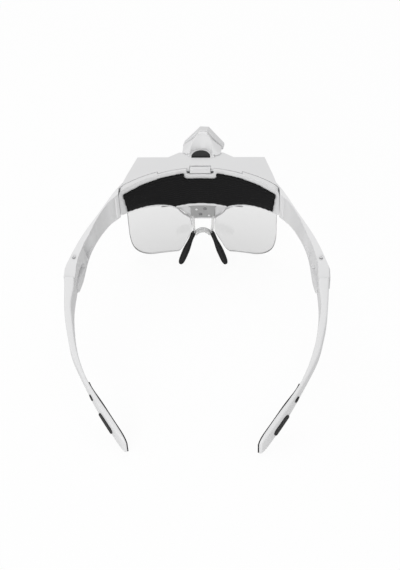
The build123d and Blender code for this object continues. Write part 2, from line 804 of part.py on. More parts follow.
def pocket_outline():
    """Plan of the hollow on the bracket's inner side, a wall's thickness inside the outer face"""
    sideways = bracket_wall * math.sqrt(2)
    outer = [(x - sideways, y) for x, y in [bracket_place(*share) for share in bracket_outer_shares[1:-1]]]
    start = bracket_place(bracket_outer_shares[-1][0], pocket_start_share)
    end = bracket_place(bracket_outer_shares[0][0], pocket_end_share)
    with BuildLine() as outline:
        Spline((end[0], end[1]), *outer, (start[0] - sideways, start[1]))
        Polyline(
            (start[0] - sideways, start[1]),
            (start[0] - hinge_radius, start[1]),
            (bracket_side - hinge_radius, end[1]),
            (end[0], end[1]),
        )
    return outline.edges()


def bracket_sides(inset):
    """Side view of the right bracket, from the housing's full height down to the arm's height"""
    low = brow_top - cover_side_height
    top = [
        (hinge_y + bracket_span * along, arm_top + (brow_top - arm_top) * up - inset)
        for along, up in zip(line_place_shares, top_line_shares)
    ]
    foot = [
        (hinge_y + bracket_span * along, arm_foot + (low - arm_foot) * up + inset)
        for along, up in zip(line_place_shares, foot_line_shares)
    ]
    with BuildLine() as outline:
        Spline(*top)
        Line(top[-1], foot[-1])
        Spline(*reversed(foot))
        Line(foot[0], top[0])
    return outline.edges()


with BuildPart() as bracket_pocket:
    with BuildSketch(Plane.XY):
        make_face(pocket_outline())
    extrude(amount=brow_top)
    with BuildSketch(Plane.YZ):
        make_face(bracket_sides(bracket_flange))
    extrude(amount=2 * hinge_x, mode=Mode.INTERSECT)
    rib_places = [bracket_place(*share) for share in rib_place_shares]
    with Locations(*[Location((x, y, brow_top / 2), (0, 0, rib_turn)) for x, y in rib_places]):
        Box(2 * hinge_radius, rib_wall, brow_top, mode=Mode.SUBTRACT)

hinge_top = arm_top + (brow_top - arm_top) * top_line_shares[-2] * line_place_shares[-1] / (
    line_place_shares[-1] - line_place_shares[-2]
)
hinge_low = hinge_top + arm_foot - arm_top
with BuildPart() as fork_facet:
    for along, ridge, foot in facet_shares:
        facet_y = bracket_place(ridge, along)[1]
        ridge_x, foot_x = bracket_place(ridge, along)[0], bracket_place(foot, along)[0]
        with BuildSketch(Plane.XZ.offset(-facet_y)):
            with BuildLine():
                Polyline(
                    (2 * ridge_x - foot_x, 2 * hinge_top - hinge_low),
                    (2 * foot_x - ridge_x, 2 * hinge_low - hinge_top),
                    (foot_x - hinge_radius, 2 * hinge_low - hinge_top),
                    (foot_x - hinge_radius, 2 * hinge_top - hinge_low),
                    close=True,
                )
            make_face()
    loft(ruled=True)

with BuildPart() as side_bracket_right:
    with BuildSketch(Plane.XY):
        make_face(bracket_outline())
    extrude(amount=brow_top)
    with BuildSketch(Plane.YZ):
        make_face(bracket_sides(0))
    extrude(amount=2 * hinge_x, mode=Mode.INTERSECT)
    # Rear end rounded about the hinge pin
    with BuildSketch(Plane.XY):
        with Locations((hinge_x, hinge_y - hinge_radius)):
            Rectangle(4 * hinge_radius, 2 * hinge_radius)
        with Locations((hinge_x, hinge_y)):
            Circle(hinge_radius, mode=Mode.SUBTRACT)
    extrude(amount=brow_top, mode=Mode.SUBTRACT)
    add(bracket_pocket.part, mode=Mode.SUBTRACT)
    # Inner side of the fork, which slopes in from the top face
    add(fork_facet.part, mode=Mode.SUBTRACT)
    # Slot of the fork, open towards the head so that the arm folds inwards
    slot_side = hinge_x + knuckle_radius + fit
    slot_end = hinge_y + knuckle_radius + fit
    with BuildSketch(Plane.XY.offset(fork_slot_bottom)):
        with Locations((slot_side, slot_end)):
            Rectangle(2 * hinge_radius, 2 * hinge_radius, align=(Align.MAX, Align.MAX))
    extrude(amount=fork_slot_top - fork_slot_bottom, mode=Mode.SUBTRACT)
    with BuildSketch(Plane.XY.offset(arm_foot + bracket_flange)):
        with Locations((hinge_x, hinge_y)):
            Circle(pin_radius + running_fit)
    extrude(amount=brow_top, mode=Mode.SUBTRACT)

# Hinge pin, whose upper end stands a little proud of the fork
with BuildPart() as hinge_pin_right:
    with BuildSketch(Plane.XY.offset(arm_foot + bracket_flange)):
        with Locations((hinge_x, hinge_y)):
            Circle(pin_radius)
    extrude(amount=hinge_top + pin_proud - arm_foot - bracket_flange)

# Cap strip on the outer side of the hinge
with BuildPart() as hinge_cap_right:
    cap_low = (arm_top + arm_foot - cap_height) / 2
    cap_rise = (brow_top + brow_top - cover_side_height - arm_top - arm_foot) / 2 * top_line_shares[-2]
    with BuildSketch(Plane.YZ.offset(hinge_x)):
        with BuildLine():
            Polyline(
                (cap_end_y, cap_low),
                (cap_start_y, cap_low + cap_rise),
                (cap_start_y, cap_low + cap_rise + cap_height),
                (cap_end_y, cap_low + cap_height),
                close=True,
            )
        make_face()
    extrude(amount=hinge_radius, both=True)
    with BuildSketch(Plane.XY.offset(arm_foot - overrun)):
        outer = [bracket_place(*share) for share in bracket_outer_shares]
        with BuildLine():
            Spline((root_half_width + running_fit, root_y), *outer, fork_outer)
            Line(fork_outer, fork_outer_end)
            Line(fork_outer_end, (fork_outer_end[0] + cap_wall, fork_outer_end[1]))
            Line((fork_outer_end[0] + cap_wall, fork_outer_end[1]), (fork_outer[0] + cap_wall, fork_outer[1]))
            Spline(
                (fork_outer[0] + cap_wall, fork_outer[1]),
                *[(x + cap_wall, y) for x, y in reversed(outer)],
                (root_half_width + running_fit + cap_wall, root_y),
            )
            Line(
                (root_half_width + running_fit + cap_wall, root_y),
                (root_half_width + running_fit, root_y),
            )
        make_face()
    extrude(amount=brow_top, mode=Mode.INTERSECT)

# Temple arm: sections from the shoulder behind the hinge down to the tip on the table
arm_section_shares = [
    (0.1, 1.039, 0.958, 0.937, 1.02, 1.02),
    (0.16, 1.034, 0.954, 0.946, 0.995, 0.995),
    (0.21, 1.03, 0.958, 0.951, 0.945, 0.955),
    (0.29, 1.023, 0.969, 0.953, 0.875, 0.895),
    (0.38, 1.007, 0.951, 0.943, 0.785, 0.81),
    (0.46, 0.982, 0.931, 0.925, 0.705, 0.73),
    (0.545, 0.948, 0.898, 0.894, 0.625, 0.645),
    (0.62, 0.897, 0.858, 0.858, 0.553, 0.555),
    (0.7, 0.832, 0.8, 0.8, 0.475, 0.45),
    (0.77, 0.77, 0.733, 0.733, 0.418, 0.335),
    (0.85, 0.693, 0.648, 0.648, 0.352, 0.215),
    (0.93, 0.606, 0.562, 0.562, 0.268, 0.09),
    (0.985, 0.542, 0.508, 0.508, 0.205, 0.015),
    (1.0, 0.518, 0.496, 0.496, 0.165, 0.0),
]


def arm_section(along, outer, ridge, inner, top, foot, proud=0.0):
    """One upright section of the right arm, wider at the foot where the inner side slopes"""
    corner = min(arm_round, side_reach * (outer - ridge) * arm_round_share)
    low, high = arm_foot * foot, arm_top * top
    with BuildSketch(Plane.XZ.offset(arm_reach * along - hinge_y)) as section:
        with BuildLine():
            Polyline(
                (side_reach * inner, low),
                (side_reach * ridge, high),
                (side_reach * outer + proud, high),
                (side_reach * outer + proud, low),
                close=True,
            )
        make_face()
        fillet(section.vertices(), corner)
    return section


grip_sections = [shares for shares in arm_section_shares if shares[0] >= grip_start_share]
small_slot_shares = [(0.803, 0.749, 0.356), (0.776, 0.779, 0.326)]
long_slot_shares = [(0.717, 0.828, 0.238), (0.613, 0.926, 0.132)]


def grip_place(across, along, up):
    """A place on the arm's tip from shares of the hinge's distance, the arm's reach and its top height"""
    return Vector(side_reach * across, hinge_y - arm_reach * along, arm_top * up)


def slot_plane(ends):
    """A plane square to the arm's side, centred on a slot and turned along it"""
    first, last = grip_place(*ends[0]), grip_place(*ends[1])
    along = (last - first).normalized()
    return Plane(origin=(first + last) / 2, x_dir=along, z_dir=Vector(0, 0, 1).cross(along))


def slot_length(ends):
    """Length of a slot from end to end"""
    return (grip_place(*ends[1]) - grip_place(*ends[0])).length


with BuildPart() as arm_form:
    loft([arm_section(*shares).sketch for shares in arm_section_shares])
with BuildPart() as plug_form:
    loft([arm_section(*shares, proud=plug_proud).sketch for shares in grip_sections])
with BuildPart() as temple_arm_right:
    add(arm_form.part)
    # Shoulder cut round the hinge, with the knuckle tongue that reaches into the fork
    with BuildSketch(Plane.XY.offset(arm_foot - overrun)):
        with Locations((hinge_x, hinge_y)):
            Circle(hinge_radius + arm_gap)
    extrude(amount=brow_top, mode=Mode.SUBTRACT)
    with BuildSketch(Plane.XY.offset(fork_slot_bottom + knuckle_gap)):
        with Locations((hinge_x, hinge_y)):
            Circle(knuckle_radius)
            Rectangle(2 * knuckle_radius, hinge_radius + arm_gap + overrun, align=(Align.CENTER, Align.MAX))
            Circle(pin_radius + running_fit, mode=Mode.SUBTRACT)
    extrude(amount=fork_slot_top - fork_slot_bottom - 2 * knuckle_gap)
    for ends, wide in [(small_slot_shares, small_slot_wide), (long_slot_shares, long_slot_wide)]:
        with BuildSketch(slot_plane(ends)):
            SlotOverall(slot_length(ends), wide)
        extrude(amount=hinge_radius / 2, both=True, mode=Mode.SUBTRACT)

# Rubber grip: a lining on the inner side of the arm's tip, with two plugs through the arm
with BuildPart() as temple_grip_right:
    for along, outer, ridge, inner, top, foot in grip_sections:
        with BuildSketch(Plane.XZ.offset(arm_reach * along - hinge_y)):
            with Locations((side_reach * inner, (arm_foot * foot + arm_top * top) / 2)):
                RectangleRounded(2 * grip_wall, (arm_top * top - arm_foot * foot) * grip_tall_share, grip_wall / 2)
    loft()
    add(arm_form.part, mode=Mode.SUBTRACT)
with BuildPart() as grip_plugs:
    for ends, wide in [(small_slot_shares, small_slot_wide), (long_slot_shares, long_slot_wide)]:
        with BuildSketch(slot_plane(ends)):
            SlotOverall(slot_length(ends) - 2 * running_fit, wide - 2 * running_fit)
        extrude(amount=hinge_radius / 2, both=True)
    add(plug_form.part, mode=Mode.INTERSECT)
with temple_grip_right:
    add(grip_plugs.part)

# Push button: a D-shaped cap with a flange under the top plate and a stem down to the switch
button_under = brow_top - wall - running_fit
with BuildPart() as power_button:
    with BuildSketch(Plane.XY.offset(button_under - button_flange_height)):
        with Locations((0, button_y)):
            Circle(button_radius)
            with Locations((0, -button_flat)):
                Rectangle(2 * button_radius, button_radius, align=(Align.CENTER, Align.MAX), mode=Mode.SUBTRACT)
    extrude(amount=button_flange_height + wall + running_fit + button_proud)
    fillet(power_button.edges().group_by(Axis.Z)[-1], cover_edge_round)
    with BuildSketch(Plane.XY.offset(button_under - button_flange_height)):
        with Locations((0, button_y)):
            Circle(button_radius + button_flange)
            with Locations((0, -button_flat)):
                Rectangle(4 * button_radius, 2 * button_radius, align=(Align.CENTER, Align.MAX), mode=Mode.SUBTRACT)
    extrude(amount=button_flange_height)
    with BuildSketch(Plane.XY.offset(button_under - button_flange_height)):
        with Locations((0, stem_y)):
            Circle(stem_radius)
    extrude(amount=-stem_length)

# Switch hung from the top plate by two lugs, with a well for the button's stem
switch_top = button_under - button_flange_height - button_travel - fit
with BuildPart() as switch_body:
    with BuildSketch(Plane.XY.offset(switch_top - switch_height)):
        with Locations((0, stem_y)):
            Rectangle(2 * switch_half_width, switch_deep)
    extrude(amount=switch_height)
    with BuildSketch(Plane.XY.offset(switch_top - switch_height)):
        with Locations((-switch_half_width, stem_y), (switch_half_width, stem_y)):
            Rectangle(switch_lug, switch_deep)
    extrude(amount=brow_top - wall - running_fit - switch_top + switch_height)
    with BuildSketch(Plane.XY.offset(switch_top - stem_length - fit)):
        with Locations((0, stem_y)):
            Circle(stem_radius + running_fit)
    extrude(amount=stem_length + overrun, mode=Mode.SUBTRACT)

# Lamp: the base is drawn forward from the button's centre, and the rest about the tilt pin with the beam along Y
lamp_base_plane = Plane(origin=(0, button_y, brow_top), z_dir=(0, 0, 1)).rotated((0, 0, lamp_turn))
base_side_plane = Plane(origin=lamp_base_plane.origin, x_dir=lamp_base_plane.y_dir, z_dir=lamp_base_plane.x_dir)
dip = math.radians(lamp_dip)
lamp_plane = Plane(
    origin=base_side_plane.from_local_coords((tilt_y, tilt_height, 0)),
    x_dir=lamp_base_plane.x_dir,
    z_dir=lamp_base_plane.y_dir * math.sin(dip) + lamp_base_plane.z_dir * math.cos(dip),
)
lamp_side_plane = Plane(origin=lamp_plane.origin, x_dir=lamp_plane.y_dir, z_dir=lamp_plane.x_dir)
roof_slope = (lamp_half_width - lamp_apex_half_width) / (lamp_top - lamp_side)


def lamp_upright(y):
    """Plane across the beam, looked at from behind, at a distance ahead of the tilt pin"""
    return Plane(origin=lamp_plane.from_local_coords((0, y, 0)), x_dir=lamp_plane.x_dir, z_dir=-lamp_plane.y_dir)


def base_upright(y):
    """Upright plane across the lamp, looked at from behind, at a distance ahead of the button's centre"""
    origin = lamp_base_plane.from_local_coords((0, y, 0))
    return Plane(origin=origin, x_dir=lamp_base_plane.x_dir, z_dir=-lamp_base_plane.y_dir)


def lamp_room_outline(inset):
    """Cross section inside the hood, a given wall's thickness in from its roof and floor"""
    sideways = inset * math.sqrt(1 + roof_slope**2)
    low, high = lamp_low + inset, lamp_top - inset
    low_x = min(lamp_half_width - inset, lamp_half_width - (low - lamp_side) * roof_slope - sideways)
    high_x = lamp_half_width - (high - lamp_side) * roof_slope - sideways
    with BuildLine() as outline:
        Polyline((low_x, low), (high_x, high), (-high_x, high), (-low_x, low), close=True)
    return outline.edges()


def shell_outline(half_width, low, side, edge_half_width, edge, top_half_width, top, inset=0.0):
    """Cross section of the shell: upright sides, a facet up to the rear panel's edge, and the panel's crown"""
    right = [
        (half_width - inset, low - (overrun if inset else 0)),
        (half_width - inset, side - inset / 2),
        (edge_half_width - inset / 2, edge - inset),
        (top_half_width, top - inset),
    ]
    with BuildLine() as outline:
        Polyline(*right, *[(-x, z) for x, z in reversed(right)], close=True)
    return outline.edges()


slot_half_width = lug_half_width + arm_gap
slot_front = lug_radius + arm_gap
seam_half_width = lamp_half_width - shell_inset
seam_top = lamp_top - shell_inset
seam_section = (
    seam_half_width,
    lamp_low + shell_inset,
    lamp_side - shell_inset / 2,
    seam_half_width / 2,
    (seam_top + lamp_side) / 2,
    lamp_apex_half_width,
    seam_top,
)
# Shell sections behind the seam as shares of the tilt pin's distance, the half width and the top height
shell_section_shares = [
    (0.088, (0.66, 0.044, 0.1), (0.62, 0.14), (0.38, 0.2)),
    (0.28, (0.985, 0.044, 0.12), (0.82, 0.27), (0.4, 0.52)),
    (0.51, (0.99, 0.044, 0.18), (0.68, 0.5), (0.32, 0.87)),
    (0.75, (0.99, 0.044, 0.22), (0.57, 0.77), (0.26, 1.1)),
]


def shell_solid(inset, seam, first):
    """Outside or inside of the rear shell, from a section near the button to the seam"""
    with BuildPart() as form:
        for along, (wide, low, side), (edge_wide, edge), (top_wide, top) in shell_section_shares[first:]:
            with BuildSketch(base_upright(tilt_y * along)):
                make_face(
                    shell_outline(
                        seam_half_width * wide,
                        lamp_top * low,
                        lamp_top * side,
                        seam_half_width * edge_wide,
                        lamp_top * edge,
                        seam_half_width * top_wide,
                        lamp_top * top,
                        inset,
                    )
                )
        with BuildSketch(lamp_upright(seam)):
            make_face(shell_outline(*seam_section, inset))
        loft(ruled=True)
    return form.part


# Bracket: a half ring round the button's collar with a lug for the tilt pin
ring_inner = collar_radius + running_fit
ring_outer = ring_inner + ring_width
with BuildPart() as lamp_bracket:
    with BuildSketch(lamp_base_plane.offset(running_fit)):
        Circle(ring_outer)
        Circle(ring_inner, mode=Mode.SUBTRACT)
        Rectangle(2 * ring_outer, 2 * ring_outer, align=(Align.CENTER, Align.MAX), mode=Mode.SUBTRACT)
    extrude(amount=ring_height)
    with BuildSketch(base_side_plane.offset(-lug_half_width)):
        with Locations((tilt_y, tilt_height)):
            Circle(lug_radius)
        with BuildLine():
            Polyline(
                (ring_inner + ring_width / 2, ring_height + running_fit),
                (ring_inner + ring_width / 2, running_fit),
                (seat_radius, running_fit),
                (tilt_y, tilt_height - lug_radius),
                (tilt_y, tilt_height + lug_radius),
                (tilt_y - lug_radius, tilt_height),
                close=True,
            )
        make_face()
    extrude(amount=2 * lug_half_width)
    with BuildSketch(base_side_plane.offset(-lug_half_width)):
        with Locations((tilt_y, tilt_height)):
            Circle(lamp_pin_radius + running_fit)
    extrude(amount=2 * lug_half_width, mode=Mode.SUBTRACT)

pin_reach = lug_half_width + arm_gap + cheek_wall
with BuildPart() as lamp_pin:
    with BuildSketch(lamp_side_plane):
        Circle(lamp_pin_radius)
    extrude(amount=pin_reach, both=True)

# Rear shell: a crowned panel over the button's front half with a wall that arches round the button,
# and two cheeks under its roof that hold the tilt pin
with BuildPart() as shell_cheeks:
    for side in (-1, 1):
        with BuildSketch(lamp_side_plane.offset(side * slot_half_width)):
            with BuildLine():
                Polyline(
                    (-2 * lug_radius, -lug_radius),
                    (lamp_seam - seam_groove, -lug_radius),
                    (lamp_seam - seam_groove, lamp_top),
                    (-2 * lug_radius, lamp_top),
                    close=True,
                )
            make_face()
        extrude(amount=side * cheek_wall)
    add(shell_solid(lamp_wall / 2, lamp_seam, 1), mode=Mode.INTERSECT)
    for side in (-1, 1):
        with BuildSketch(lamp_side_plane.offset(side * slot_half_width)):
            Circle(cheek_radius)
            with Locations((-cheek_radius, 0)):
                Rectangle(2 * cheek_radius, 2 * cheek_radius)
        extrude(amount=side * cheek_wall)
with BuildPart() as shell_room:
    add(shell_solid(lamp_wall, lamp_seam + overrun, 1))
    with BuildSketch(lamp_base_plane.offset(-2 * lamp_top)):
        Circle(shell_arch + lamp_wall)
    extrude(amount=4 * lamp_top, mode=Mode.SUBTRACT)
with BuildPart() as lamp_shell:
    add(shell_solid(0.0, lamp_seam - seam_groove, 0))
    with BuildSketch(lamp_upright(lamp_seam)):
        make_face(shell_outline(*seam_section))
        offset(amount=-seam_groove, kind=Kind.INTERSECTION)
    extrude(amount=seam_groove)
    add(shell_room.part, mode=Mode.SUBTRACT)
    with BuildSketch(lamp_base_plane.offset(-2 * lamp_top)):
        Circle(shell_arch)
    extrude(amount=4 * lamp_top, mode=Mode.SUBTRACT)
    with BuildSketch(lamp_base_plane):
        Circle(ring_outer + ring_gap)
    extrude(amount=ring_height + ring_gap, mode=Mode.SUBTRACT)
    with BuildSketch(lamp_base_plane):
        Rectangle(2 * slot_half_width, tilt_y, align=(Align.CENTER, Align.MIN))
    extrude(amount=tilt_height, mode=Mode.SUBTRACT)
    add(shell_cheeks.part)
    with BuildSketch(lamp_side_plane):
        Circle(lamp_pin_radius + running_fit)
    extrude(amount=2 * pin_reach, both=True, mode=Mode.SUBTRACT)

# Hood: a hollow box open at the front, with a rear wall round the shell and a slot for the bracket's lug
window_back = lamp_front - lamp_window_back - lamp_window_wall
reflector_back = window_back - running_fit - reflector_depth
board_back = reflector_back - running_fit - board_wall
with BuildPart() as lamp_hood:
    with BuildSketch(lamp_upright(lamp_front)):
        with BuildLine():
            Polyline(
                (lamp_half_width, lamp_low),
                (lamp_half_width, lamp_side),
                (lamp_apex_half_width, lamp_top),
                (-lamp_apex_half_width, lamp_top),
                (-lamp_half_width, lamp_side),
                (-lamp_half_width, lamp_low),
                close=True,
            )
        make_face()
    extrude(amount=lamp_front - lamp_seam)
    with BuildSketch(lamp_upright(lamp_front)):
        make_face(lamp_room_outline(lamp_wall))
    extrude(amount=lamp_front - lamp_seam - lamp_wall, mode=Mode.SUBTRACT)
    with BuildSketch(lamp_upright(lamp_front)):
        make_face(lamp_room_outline(2 * lamp_wall))
    extrude(amount=lamp_front - lamp_seam, mode=Mode.SUBTRACT)
    with BuildSketch(lamp_plane.offset(lamp_low - overrun)):
        with Locations((0, lamp_seam)):
            Rectangle(2 * slot_half_width, slot_front - lamp_seam, align=(Align.CENTER, Align.MIN))
    extrude(amount=overrun + 2 * lamp_wall + running_fit, mode=Mode.SUBTRACT)

# Window, reflector with two bowls, and the board with its two lights
with BuildPart() as lamp_window:
    with BuildSketch(lamp_upright(lamp_front - lamp_window_back)):
        make_face(lamp_room_outline(lamp_wall + running_fit))
    extrude(amount=lamp_window_wall)
bowl_height = lamp_low + lamp_wall + running_fit + reflector_wall + bowl_radius
bowl_places = [(-led_spread, bowl_height), (led_spread, bowl_height)]
with BuildPart() as lamp_reflector:
    with BuildSketch(lamp_upright(window_back - running_fit)):
        make_face(lamp_room_outline(lamp_wall + running_fit))
    extrude(amount=reflector_wall)
    with BuildSketch(lamp_upright(window_back - running_fit)):
        with Locations(*bowl_places):
            Circle(bowl_radius)
    extrude(amount=reflector_depth, taper=bowl_taper)
    with BuildSketch(lamp_upright(window_back - running_fit)):
        with Locations(*bowl_places):
            Circle(bowl_radius - reflector_wall)
    extrude(amount=reflector_depth, taper=bowl_taper, mode=Mode.SUBTRACT)
with BuildPart() as lamp_board:
    with BuildSketch(lamp_upright(reflector_back - running_fit)):
        make_face(lamp_room_outline(lamp_wall + running_fit))
    extrude(amount=board_wall)
    with BuildSketch(lamp_plane.offset(lamp_low)):
        Rectangle(2 * pin_reach + 2 * fit, slot_front + fit, align=(Align.CENTER, Align.MIN))
    extrude(amount=lug_radius + fit - lamp_low, mode=Mode.SUBTRACT)
with BuildPart() as lamp_leds:
    with BuildSketch(lamp_upright(reflector_back - running_fit)):
        with Locations(*bowl_places):
            Circle(led_radius)
    extrude(amount=-led_height)

# Left-hand pieces mirror the right-hand ones
with BuildPart() as side_bracket_left:
    mirror(side_bracket_right.part, about=Plane.YZ)
with BuildPart() as hinge_pin_left:
    mirror(hinge_pin_right.part, about=Plane.YZ)
with BuildPart() as hinge_cap_left:
    mirror(hinge_cap_right.part, about=Plane.YZ)
with BuildPart() as temple_arm_left:
    mirror(temple_arm_right.part, about=Plane.YZ)
with BuildPart() as temple_grip_left:
    mirror(temple_grip_right.part, about=Plane.YZ)

pieces = {
    "brow_housing": brow_housing,
    "front_visor": front_visor,
    "battery_cells": battery_cells,
    "contact_plates": contact_plates,
    "contact_springs": contact_springs,
    "battery_cover": battery_cover,
    "brow_pad": brow_pad,
    "cover_latch": cover_latch,
    "power_button": power_button,
    "switch_body": switch_body,
    "lamp_bracket": lamp_bracket,
    "lamp_pin": lamp_pin,
    "lamp_shell": lamp_shell,
    "lamp_hood": lamp_hood,
    "lamp_window": lamp_window,
    "lamp_reflector": lamp_reflector,
    "lamp_board": lamp_board,
    "lamp_leds": lamp_leds,
    "lens_plate": lens_plate,
    "nose_frame": nose_frame,
    "nose_screws": nose_screws,
    "nose_pad_right": nose_pad_right,
    "nose_pad_left": nose_pad_left,
    "side_bracket_right": side_bracket_right,
    "side_bracket_left": side_bracket_left,
    "hinge_pin_right": hinge_pin_right,
    "hinge_pin_left": hinge_pin_left,
    "hinge_cap_right": hinge_cap_right,
    "hinge_cap_left": hinge_cap_left,
    "temple_arm_right": temple_arm_right,
    "temple_arm_left": temple_arm_left,
    "temple_grip_right": temple_grip_right,
    "temple_grip_left": temple_grip_left,
}

# The model is moved so that its origin lies on the table under the middle of its length
boxes = [piece.part.bounding_box() for piece in pieces.values()]
rear, front = min(box.min.Y for box in boxes), max(box.max.Y for box in boxes)
shift = Vector(0, -(rear + front) / 2, -min(box.min.Z for box in boxes))
for name, piece in pieces.items():
    piece.part.locate(Location(shift) * piece.part.location)
    piece.part.label = name
    export_step(piece.part, f"parts/{name}.step")
print("moved by", shift)
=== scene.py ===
import json
import math

import bmesh
import bpy
from mathutils import Matrix, Vector

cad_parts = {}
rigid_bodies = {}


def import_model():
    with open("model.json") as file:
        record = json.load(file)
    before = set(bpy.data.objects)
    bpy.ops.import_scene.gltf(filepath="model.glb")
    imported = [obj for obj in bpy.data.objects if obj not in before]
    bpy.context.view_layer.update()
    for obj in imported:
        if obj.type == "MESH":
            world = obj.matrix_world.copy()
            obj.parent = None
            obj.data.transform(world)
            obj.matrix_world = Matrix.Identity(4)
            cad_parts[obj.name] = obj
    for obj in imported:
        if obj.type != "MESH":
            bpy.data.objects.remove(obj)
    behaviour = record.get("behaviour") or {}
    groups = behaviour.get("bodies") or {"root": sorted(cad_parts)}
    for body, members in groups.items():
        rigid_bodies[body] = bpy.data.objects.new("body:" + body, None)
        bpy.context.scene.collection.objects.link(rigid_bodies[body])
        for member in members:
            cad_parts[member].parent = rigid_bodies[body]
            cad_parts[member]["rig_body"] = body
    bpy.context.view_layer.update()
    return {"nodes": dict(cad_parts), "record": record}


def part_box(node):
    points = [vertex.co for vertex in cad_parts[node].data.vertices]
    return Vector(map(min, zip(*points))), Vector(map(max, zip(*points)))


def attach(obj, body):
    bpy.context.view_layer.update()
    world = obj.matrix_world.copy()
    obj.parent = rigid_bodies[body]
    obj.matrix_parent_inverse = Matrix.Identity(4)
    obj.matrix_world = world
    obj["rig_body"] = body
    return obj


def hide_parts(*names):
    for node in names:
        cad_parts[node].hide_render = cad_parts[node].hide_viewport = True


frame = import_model()
nodes = frame["nodes"]

# Studio: the camera stands behind and above the wearer's side, as a catalogue picture is taken,
# with an even sky, one broad softbox overhead and another low behind the camera,
# over white paper that keeps the object's soft shadow
camera_elevation = math.radians(45.0)
camera_heading = math.radians(4.25)
camera_roll = math.radians(-2.82)
camera_distance = 0.8264
camera_target = Vector((0.0, 0.03875, 0.0026))
camera_focal_pixels = 1051.0
camera_shift_pixels = (-2.0, 1.0)
photo_long_side = 570.0
sensor_width = 36.0
nearest_seen = 0.01


def placed(name, data):
    """New object in the scene that holds a mesh, a light or a camera"""
    thing = bpy.data.objects.new(name, data)
    bpy.context.scene.collection.objects.link(thing)
    return thing


backwards = Vector(
    (
        math.sin(camera_heading) * math.cos(camera_elevation),
        -math.cos(camera_heading) * math.cos(camera_elevation),
        math.sin(camera_elevation),
    )
)
level = Vector((math.cos(camera_heading), math.sin(camera_heading), 0.0))
upwards = backwards.cross(level)
right_hand = level * math.cos(camera_roll) + upwards * math.sin(camera_roll)
up_hand = upwards * math.cos(camera_roll) - level * math.sin(camera_roll)
turned = Matrix((right_hand, up_hand, backwards)).transposed().to_4x4()
camera_data = bpy.data.cameras.new("studio_camera")
camera_data.sensor_width = sensor_width
camera_data.lens = camera_focal_pixels / photo_long_side * sensor_width
camera_data.shift_x = camera_shift_pixels[0] / photo_long_side
camera_data.shift_y = camera_shift_pixels[1] / photo_long_side
camera_data.clip_start = nearest_seen
camera = placed("studio_camera", camera_data)
camera.matrix_world = Matrix.Translation(camera_target + backwards * camera_distance) @ turned
bpy.context.scene.camera = camera
bpy.context.scene.view_settings.view_transform = "Standard"


def softbox(name, place, aim, power):
    """Square area light that faces a point"""
    data = bpy.data.lights.new(name, "AREA")
    data.size = softbox_size
    data.energy = power
    lamp = placed(name, data)
    lamp.location = place
    lamp.rotation_mode = "QUATERNION"
    lamp.rotation_quaternion = (Vector(aim) - Vector(place)).to_track_quat("-Z", "Y")


softbox_size = 0.8
softbox("overhead_softbox", place=(-0.1, 0.35, 0.95), aim=(0, 0, 0.05), power=2.3)
softbox("camera_side_softbox", place=(-0.35, -1.2, 0.5), aim=(0, 0.05, 0.05), power=6.0)


def node_tree(material):
    """Nodes, links, output and shader of a fresh material"""
    material.use_nodes = True
    tree = material.node_tree
    return tree.nodes, tree.links, tree.nodes["Material Output"], tree.nodes["Principled BSDF"]


def reckon(made, joined, how, *values):
    """One math node whose inputs are numbers or other nodes' outputs"""
    sum_node = made.new("ShaderNodeMath")
    sum_node.operation = how
    for socket, value in zip(sum_node.inputs, values):
        if isinstance(value, (int, float)):
            socket.default_value = value
        else:
            joined.new(value, socket)
    return sum_node.outputs[0]


def plainly_seen(made, joined):
    """1 for the camera's rays and for those that have passed through clear plastic, else 0"""
    ray = made.new("ShaderNodeLightPath")
    return reckon(made, joined, "MAXIMUM", ray.outputs["Is Camera Ray"], ray.outputs["Is Transmission Ray"])


def blended(made, joined, share, first, second):
    """Mix of two shaders by a share"""
    mix = made.new("ShaderNodeMixShader")
    for given, wanted in zip((share, first, second), mix.inputs):
        joined.new(given, wanted)
    return mix.outputs[0]


sky_strength, white_strength = 0.6, 1.0
world = bpy.data.worlds.new("studio_sky")
bpy.context.scene.world = world
world.use_nodes = True
sky_nodes, sky_links = world.node_tree.nodes, world.node_tree.links
soft_sky = sky_nodes["Background"]
white_sky = sky_nodes.new("ShaderNodeBackground")
for sky, strength in ((soft_sky, sky_strength), (white_sky, white_strength)):
    sky.inputs["Color"].default_value = (1, 1, 1, 1)
    sky.inputs["Strength"].default_value = strength
sky_share = plainly_seen(sky_nodes, sky_links)
sky_light = blended(sky_nodes, sky_links, sky_share, soft_sky.outputs[0], white_sky.outputs[0])
sky_links.new(sky_light, sky_nodes["World Output"].inputs["Surface"])

floor_reach, floor_drop = 3.0, 0.0004
paper_tone, paper_roughness = 0.82, 0.9
paper_glow_share, paper_glow_strength = 0.9, 1.02
floor_corners = [(x * floor_reach, y * floor_reach, 0) for x, y in ((-1, -1), (1, -1), (1, 1), (-1, 1))]
floor_mesh = bpy.data.meshes.new("floor")
floor_mesh.from_pydata(floor_corners, [], [(0, 1, 2, 3)])
floor = placed("floor", floor_mesh)
floor.location.z = -floor_drop
paper = bpy.data.materials.new("floor_paper")
paper_nodes, paper_links, paper_out, paper_shader = node_tree(paper)
paper_shader.inputs["Base Color"].default_value = (paper_tone, paper_tone, paper_tone, 1)
paper_shader.inputs["Roughness"].default_value = paper_roughness
paper_glow = paper_nodes.new("ShaderNodeEmission")
paper_glow.inputs["Strength"].default_value = paper_glow_strength
paper_share = plainly_seen(paper_nodes, paper_links)
paper_share = reckon(paper_nodes, paper_links, "MULTIPLY", paper_share, paper_glow_share)
paper_look = blended(paper_nodes, paper_links, paper_share, paper_shader.outputs[0], paper_glow.outputs[0])
paper_links.new(paper_look, paper_out.inputs["Surface"])
floor_mesh.materials.append(paper)

